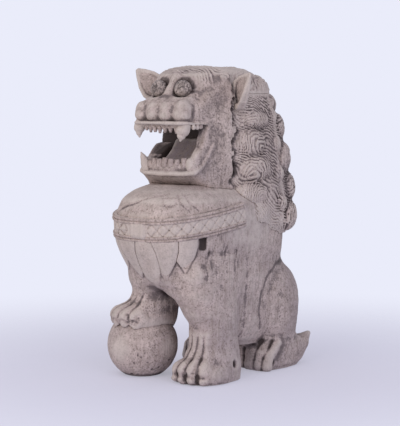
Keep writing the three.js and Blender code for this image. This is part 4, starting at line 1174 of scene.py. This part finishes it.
# stain rubbed through in patches of about 3 mm, with a dull shine
look = {"Vector": place, "Scale": 1 / (3.2 * MM), "Detail": 5.0, "Distortion": 1.2}
rub = add_node(tree, "ShaderNodeTexNoise", look).outputs["Fac"]
share = add_node(tree, "ShaderNodeMapRange", {"Value": rub, "From Min": 0.36, "From Max": 0.64})
shades = {0: share.outputs[0], 6: hue("#4b403d"), 7: hue("#b8a9a1")}
stain = add_node(tree, "ShaderNodeMix", shades, data_type="RGBA")
sheen = add_node(tree, "ShaderNodeMapRange", {"Value": rub, "To Min": 0.42, "To Max": 0.75})
dents = add_node(tree, "ShaderNodeBump", {"Height": rub, "Strength": 0.5, "Distance": 0.5 * MM})
look = {"Base Color": stain.outputs[2], "Roughness": sheen.outputs[0], "Normal": dents.outputs[0]}
finish = add_node(tree, "ShaderNodeBsdfPrincipled", look)
add_node(tree, "ShaderNodeOutputMaterial", {"Surface": finish.outputs[0]})
EYE_RADIUS = 8.0
for side, node in ((1, "eye_left"), (-1, "eye_right")):
    middle = np.array((EYE_MIDDLE[0] * side, EYE_MIDDLE[1], EYE_MIDDLE[2]))
    eye = Blank(middle - 11, middle + 11, 0.45)
    eye.add(egg(middle, [EYE_RADIUS] * 3))
    eye.cut(egg(middle + (0.5 * side, -8.4, -1.5), (1.8, 1.4, 1.6)), soft=1.2)
    eye.depth += 0.5 * waver(eye, 5, 51)
    finished("turned_" + node, eye, node, eye.hollows(), eye_paint, "eye_paint")


# Ears: cupped leaves of the same wood on small dowels that go into the front of the mane,
# leaning out from the head.
EAR_LENGTH = 41.0
EAR_HALF = 14.0
EAR_LEVELS = (-0.14, -0.05, 0.15, 0.4, 0.65, 0.85, 1.0)
EAR_WIDTHS = (0.1, 0.5, 0.88, 1.0, 0.8, 0.45, 0.12)
for side, node, height, tilt in ((1, "ear_left", 263.0, 47), (-1, "ear_right", 267.0, 45)):
    root = np.array((46.0 * side, 2.0, height))
    lean = math.radians(tilt * side)
    turn = math.radians(-33 * side)
    ear_spin = np.array(
        (
            (math.cos(turn) * math.cos(lean), -math.sin(turn), math.cos(turn) * math.sin(lean)),
            (math.sin(turn) * math.cos(lean), math.cos(turn), math.sin(turn) * math.sin(lean)),
            (-math.sin(lean), 0.0, math.cos(lean)),
        ),
        dtype=np.float32,
    )

    def ear_leaf(x, y, z):
        """A cupped leaf with a thick rim, thinner towards its bent tip."""
        dx, dy, dz = x - root[0], y - root[1], z - root[2]
        across, through, along = [dx * way[0] + dy * way[1] + dz * way[2] for way in ear_spin.T]
        along = along / EAR_LENGTH
        width = EAR_HALF * np.interp(along, EAR_LEVELS, EAR_WIDTHS)
        thick = np.interp(along, (-0.1, 0.2, 0.7, 1.0), (4.6, 4.6, 3.2, 1.2))
        bow = through + 0.012 * across**2 - 5.0 * np.clip(along - 0.4, 0, 1) ** 2
        blade = -soft_least(-(np.abs(across) - width) * 0.9, -(np.abs(bow) - thick), 2.0)
        cup = np.hypot(across / (0.68 * width + 0.6), (along - 0.44) / 0.4) - 1.0
        scoop = np.maximum(cup * 8.0, bow + 2.3)
        leaf = -soft_least(-blade, scoop, 1.5)
        return np.maximum(leaf, np.maximum(along - EAR_LEVELS[-1], EAR_LEVELS[0] - along) * EAR_LENGTH)

    ear = Blank(root - (34, 22, 14), root + (34, 22, 44), 0.62)
    ear.add((ear_leaf, root - 60, root + 60))
    ear.depth += 0.25 * waver(ear, 6, 61)
    finished("carved_" + node, ear, node, ear.hollows() + 0.1)


# Mane: five columns of curled locks and a crown, each carved from its own block and glued
# round the neck post. Every lock is combed with fine spiral cuts.
MANE_ROWS = (
    (135, 8, 93, 54),
    (149, -6, 102, 61.5),
    (172, -18, 102, 61),
    (200, -24, 101, 58),
    (246, -24, 85, 54),
    (272, -24, 69, 49),
    (290, -24, 55, 41.5),
    (295.2, -23, 47, 35),
    (297.6, -20, 38, 25),
)
NECK_MIDDLE = 30.0
COMB_PITCH = 3.0
mane_form = trunk(MANE_ROWS, 2.3)


def wedge(start, end):
    """The share of the ring round the neck between two directions in degrees."""
    start, end = math.radians(start), math.radians(end)

    def distance(x, y, z):
        back = y - NECK_MIDDLE
        first = x * math.sin(start) - back * math.cos(start)
        second = -x * math.sin(end) + back * math.cos(end)
        return np.maximum(first, second)

    return distance


def mane_reach(turn, height):
    """Distance from the neck's axis out to the mane's surface."""
    steps = np.linspace(10, 110, 401, dtype=np.float32)
    out = mane_form[0](steps * math.cos(turn), NECK_MIDDLE + steps * math.sin(turn), np.float32(height))
    return float(steps[np.searchsorted(out, 0.0)])


def tufts(blank, spread, seed):
    """Hair in short tufts: a phase for each point near the surface that jumps and tilts from tuft to tuft."""
    near = np.nonzero(np.abs(blank.depth) < 6.5)
    places = np.stack([axis[index] for axis, index in zip(blank.axes, near)], 1) / spread
    home = np.floor(places).astype(int)
    home_low = home.min(0) - 1
    sizes = home.max(0) - home_low + 2
    draw = np.random.default_rng(seed)
    roots = draw.uniform(0, 1, (*sizes, 3))
    leans = draw.uniform(-5.0, 5.0, (*sizes, 3))
    starts = draw.uniform(0, 2 * math.pi, sizes)
    nearest = np.full(len(places), 99.0)
    phase = np.zeros(len(places))
    for step in np.ndindex(3, 3, 3):
        cell = home + step - 1
        index = tuple((cell - home_low).T)
        off = places - cell - roots[index]
        away = (off**2).sum(1)
        closer = away < nearest
        nearest[closer] = away[closer]
        phase[closer] = ((leans[index] * off).sum(1) + starts[index])[closer]
    field = np.zeros_like(blank.depth)
    field[near] = phase
    return field


def comb_lock(blank, swell, bite, turn, height, tall, wide, proud, spin):
    """Raise one lock on the mane and comb it with a loose spiral, cut deeper where the bite is more."""
    turn = math.radians(turn)
    out = np.array((math.cos(turn), math.sin(turn)))
    sink = 9.0
    way = np.append(out * (mane_reach(turn, height) + proud - sink), 0.0)
    middle = np.array((0, NECK_MIDDLE, height)) + way
    size = np.array((max(wide, sink), max(wide, sink), tall)) + 1
    spans, (x, y, z) = blank.around((None, middle - size, middle + size), 3.0)
    dx, dy, dz = x - middle[0], y - middle[1], z - middle[2]
    across = dy * out[0] - dx * out[1]
    shape = egg((0, 0, 0), (sink, wide, tall))[0](dx * out[0] + dy * out[1], across, dz)
    across = across - 0.6 * wide * spin
    rise = dz + 0.5 * tall
    ring = np.hypot(across, 0.75 * rise * wide / tall + 0.35 * across * spin)
    phase = 2 * math.pi * ring / COMB_PITCH + spin * np.arctan2(rise, across) + swell[spans]
    comb = bite[spans] * np.cos(phase)
    blank.depth[spans] = soft_least(blank.depth[spans], shape + comb, 2.5)


FRONT_LOCKS = ((247, 9.5, 17), (226, 13.5, 18), (200, 13, 18.5), (177, 11, 18), (156, 12.5, 19))
BACK_LOCKS = ((261, 11, 17), (238, 15, 18), (209, 16, 19), (180, 15, 19), (153, 15, 19))
EDGE_LOCKS = (250, 223, 195, 167)
CROWN_LOCKS = ((20, 274, 13), (47, 276, 14), (90, 278, 14), (133, 276, 14), (160, 274, 13))
COLUMNS = (
    ("mane_left_front", -62, 22, -14, FRONT_LOCKS, (-2, -8, 130), (72, 64, 276)),
    ("mane_left_back", 22, 64, 43, BACK_LOCKS, (-2, 26, 130), (68, 106, 276)),
    ("mane_back", 64, 116, 90, BACK_LOCKS, (-44, 26, 130), (44, 118, 276)),
    ("mane_right_back", 116, 158, 137, BACK_LOCKS, (-68, 26, 130), (2, 106, 276)),
    ("mane_right_front", 158, 242, 194, FRONT_LOCKS, (-72, -8, 130), (2, 64, 276)),
)


def comb_crown(blank, swell, bite, start, end):
    """Comb the crown's locks that lie between two directions in degrees, or a little past them."""
    for turn, height, tall in CROWN_LOCKS:
        if start - 15 < turn < end + 15:
            spin = 1 if turn < 90 else -1
            comb_lock(blank, swell, bite, turn, height, tall, wide=17, proud=3.5, spin=spin)


def behind_parting(x, y, z):
    """The mane's side of its joint with the head."""
    return parting(z) + PARTING_GAP - y


CROWN_JOINT = 272
NECK_HOLE = 33.3
for order, (node, start, end, middle, locks, low, high) in enumerate(COLUMNS):
    column = Blank(low, high, 0.72)
    x, y, z = column.grid()
    bite = 0.6 * np.clip(0.9 + 0.5 * waver(column, 8, 271 + order), 0.5, 1.3)
    bite = bite * (1 + 0.5 * ramp(z, 185, 165))
    column.add(mane_form)
    swell = 10.0 * waver(column, 9, 71 + order) + tufts(column, 9.0, 171 + order)
    column.depth += bite * np.cos(2 * math.pi * (z + 0.5 * y) / COMB_PITCH + swell)
    for number, (height, tall, wide) in enumerate(locks):
        spin = 1 if (number + order) % 2 else -1
        comb_lock(column, swell, bite, middle - 3.0 * spin, height, tall, wide, proud=4.2, spin=spin)
    for height in EDGE_LOCKS:
        for edge in (start, end):
            spin = 1 if edge > middle else -1
            comb_lock(column, swell, bite, edge, height, tall=9.0, wide=9.5, proud=2.8, spin=spin)
    comb_crown(column, swell, bite, start, end)
    column.depth += 0.25 * waver(column, 4, 81 + order)
    column.keep(wedge(start, end), soft=1.2)
    column.keep(behind_parting, soft=4)
    column.keep(lambda x, y, z: np.maximum(135 - z, z - CROWN_JOINT))
    column.cut(path(((0, NECK_MIDDLE, 100), (0, NECK_MIDDLE, 320)), NECK_HOLE))
    column.cut((above_chest, low, (high[0], high[1], 192)))
    # a little lighter overall, with painted shade darkening the columns towards the back, away from the lamps
    column_dirt_and_shade = column.hollows() - 0.04 + 0.29 * ramp(y, 5, 45)
    column_dirt_and_shade += 0.9 * fade(y - parting(z), 2.4) * (np.abs(x) > 36)
    # painted shade on the front of the far column, seen in the shadow behind the open mouth
    if node == "mane_right_front":
        column_dirt_and_shade += 1.0 * (x > -47) * ramp(y, 8, 4) * ((z > 210) & (z < 244))
    finished("combed_" + node, column, node, column_dirt_and_shade)

crown = Blank((-58, -8, 268), (58, 94, 304), 0.75)
x, y, z = crown.grid()
bite = 0.55 * np.clip(0.9 + 0.5 * waver(crown, 8, 291), 0.5, 1.3)
bite = bite * np.maximum(ramp(y, -2, 12), 0.4)
crown.add(mane_form)
swell = 10.0 * waver(crown, 9, 91) + tufts(crown, 9.0, 191)
ripple = np.hypot(np.abs(x) - 14, y - 6)
crown.depth += bite * np.cos(2 * math.pi * ripple / COMB_PITCH + swell)
comb_crown(crown, swell, bite, 0, 180)
crown.depth += 0.25 * waver(crown, 4, 92)
crown.keep(behind_parting, soft=4 * ramp(z, 292, 282))
crown.keep(lambda x, y, z: np.maximum(CROWN_JOINT - z, z - 301))
finished("combed_crown", crown, "mane_crown", crown.hollows())


# Neck post and dowels: turned softwood,
# left bare because they are hidden inside the joints.
bare_pine, tree, place = raw_material("bare_pine")
# planed grain about 1.5 mm wide
lie = add_node(tree, "ShaderNodeMapping", {"Vector": place, "Scale": (1.0, 1.0, 0.1)})
look = {"Vector": lie.outputs[0], "Scale": 1 / (1.5 * MM), "Detail": 4.0}
grain = add_node(tree, "ShaderNodeTexNoise", look).outputs["Fac"]
tone = add_node(tree, "ShaderNodeMix", {0: grain, 6: hue("#c4a67f"), 7: hue("#a5835c")}, data_type="RGBA")
fuzz = add_node(tree, "ShaderNodeBump", {"Height": grain, "Strength": 0.3, "Distance": 0.3 * MM})
rough = add_node(tree, "ShaderNodeMapRange", {"Value": grain, "To Min": 0.6, "To Max": 0.8})
look = {"Base Color": tone.outputs[2], "Roughness": rough.outputs[0], "Normal": fuzz.outputs[0]}
finish = add_node(tree, "ShaderNodeBsdfPrincipled", look)
add_node(tree, "ShaderNodeOutputMaterial", {"Surface": finish.outputs[0]})
HIDDEN = ["neck_core", "head_dowel", "jaw_dowel", "tail_dowel", "ball_dowel"]
for joint in ("ear", "shoulder", "hip", "ankle"):
    HIDDEN += [joint + "_dowel_left", joint + "_dowel_right"]
for node in HIDDEN:
    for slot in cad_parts[node].material_slots:
        slot.material = bare_pine


# Studio: a pale paper floor that fades into an even pale surround, two large soft lamps in front and
# at the side and light from all round, with the camera where the photograph was taken from.
paper, tree, place = raw_material("pale_paper")
# faint clouds of fibre about 40 mm wide on a matt sheet, seen a little lighter than the lamps make it
fibre = add_node(tree, "ShaderNodeTexNoise", {"Vector": place, "Scale": 1 / (40 * MM), "Detail": 3.0})
shades = {0: fibre.outputs["Fac"], 6: hue("#d8d7e8"), 7: hue("#d5d5e6")}
sheet = add_node(tree, "ShaderNodeMix", shades, data_type="RGBA")
matt = add_node(tree, "ShaderNodeBsdfDiffuse", {"Color": sheet.outputs[2]})
glow = add_node(tree, "ShaderNodeEmission", {"Color": hue("#f4f2ff"), "Strength": 1.0})
seen = add_node(tree, "ShaderNodeLightPath").outputs["Is Camera Ray"]
lifted = add_node(tree, "ShaderNodeMath", {0: seen, 1: 0.35}, operation="MULTIPLY")
lit = add_node(tree, "ShaderNodeMixShader", {0: lifted.outputs[0], 1: matt.outputs[0], 2: glow.outputs[0]})
clear = add_node(tree, "ShaderNodeBsdfTransparent")
reach = add_node(tree, "ShaderNodeVectorMath", {0: place}, operation="LENGTH")
span = {"Value": reach.outputs["Value"], "From Min": 0.12, "From Max": 0.62}
thin = add_node(tree, "ShaderNodeMapRange", span, interpolation_type="SMOOTHSTEP")
blend = add_node(tree, "ShaderNodeMixShader", {0: thin.outputs[0], 1: lit.outputs[0], 2: clear.outputs[0]})
add_node(tree, "ShaderNodeOutputMaterial", {"Surface": blend.outputs[0]})
floor_mesh = bpy.data.meshes.new("paper_floor")
form = bmesh.new()
bmesh.ops.create_circle(form, cap_ends=True, segments=96, radius=0.66)
form.to_mesh(floor_mesh)
form.free()
floor_mesh.materials.append(paper)
floor = placed("paper_floor", floor_mesh)
floor.location.z = -0.5 * MM

world = bpy.data.worlds.new("pale_surround")
bpy.context.scene.world = world
world.use_nodes = True
tree = world.node_tree
tree.nodes.clear()
seen = add_node(tree, "ShaderNodeLightPath")
shown = seen.outputs["Is Camera Ray"]
for ray in ("Is Glossy Ray", "Is Transmission Ray"):
    either = {0: shown, 1: seen.outputs[ray]}
    shown = add_node(tree, "ShaderNodeMath", either, operation="MAXIMUM").outputs[0]
ambient = add_node(tree, "ShaderNodeBackground", {"Color": hue("#edeef9"), "Strength": 0.68})
surround = add_node(tree, "ShaderNodeBackground", {"Color": hue("#eaecfa"), "Strength": 1.0})
light = add_node(tree, "ShaderNodeMixShader", {0: shown, 1: ambient.outputs[0], 2: surround.outputs[0]})
add_node(tree, "ShaderNodeOutputWorld", {"Surface": light.outputs[0]})

target = placed("lion_middle", None)
target.location = (0.0, FRAME_SHIFT * MM, 0.156)
LAMPS = (
    ("front_window", (0.05, -1.55, 0.6), 1.1, 8.0, "#fff4e8"),
    ("side_window", (1.42, -0.8, 0.65), 1.1, 6.4, "#e9e8ff"),
)
for name, place, size, power, colour in LAMPS:
    lamp = bpy.data.lights.new(name, "AREA")
    lamp.shape = "SQUARE"
    lamp.size = size
    lamp.energy = power
    lamp.color = hue(colour)[:3]
    window = placed(name, lamp)
    window.location = place
    aim = target.location - window.location
    window.rotation_euler = aim.to_track_quat("-Z", "Y").to_euler()

lens = bpy.data.cameras.new("photograph")
lens.lens = 127.8
lens.sensor_width = 36.0
lens.clip_end = 20.0
camera = placed("photograph", lens)
camera.location = (0.9448, (-1125.9 + FRAME_SHIFT) * MM, 0.2794)
aim = target.location - camera.location
camera.rotation_euler = aim.to_track_quat("-Z", "Y").to_euler()
bpy.context.scene.camera = camera
bpy.data.objects.remove(target)
bpy.context.scene.view_settings.view_transform = "Standard"
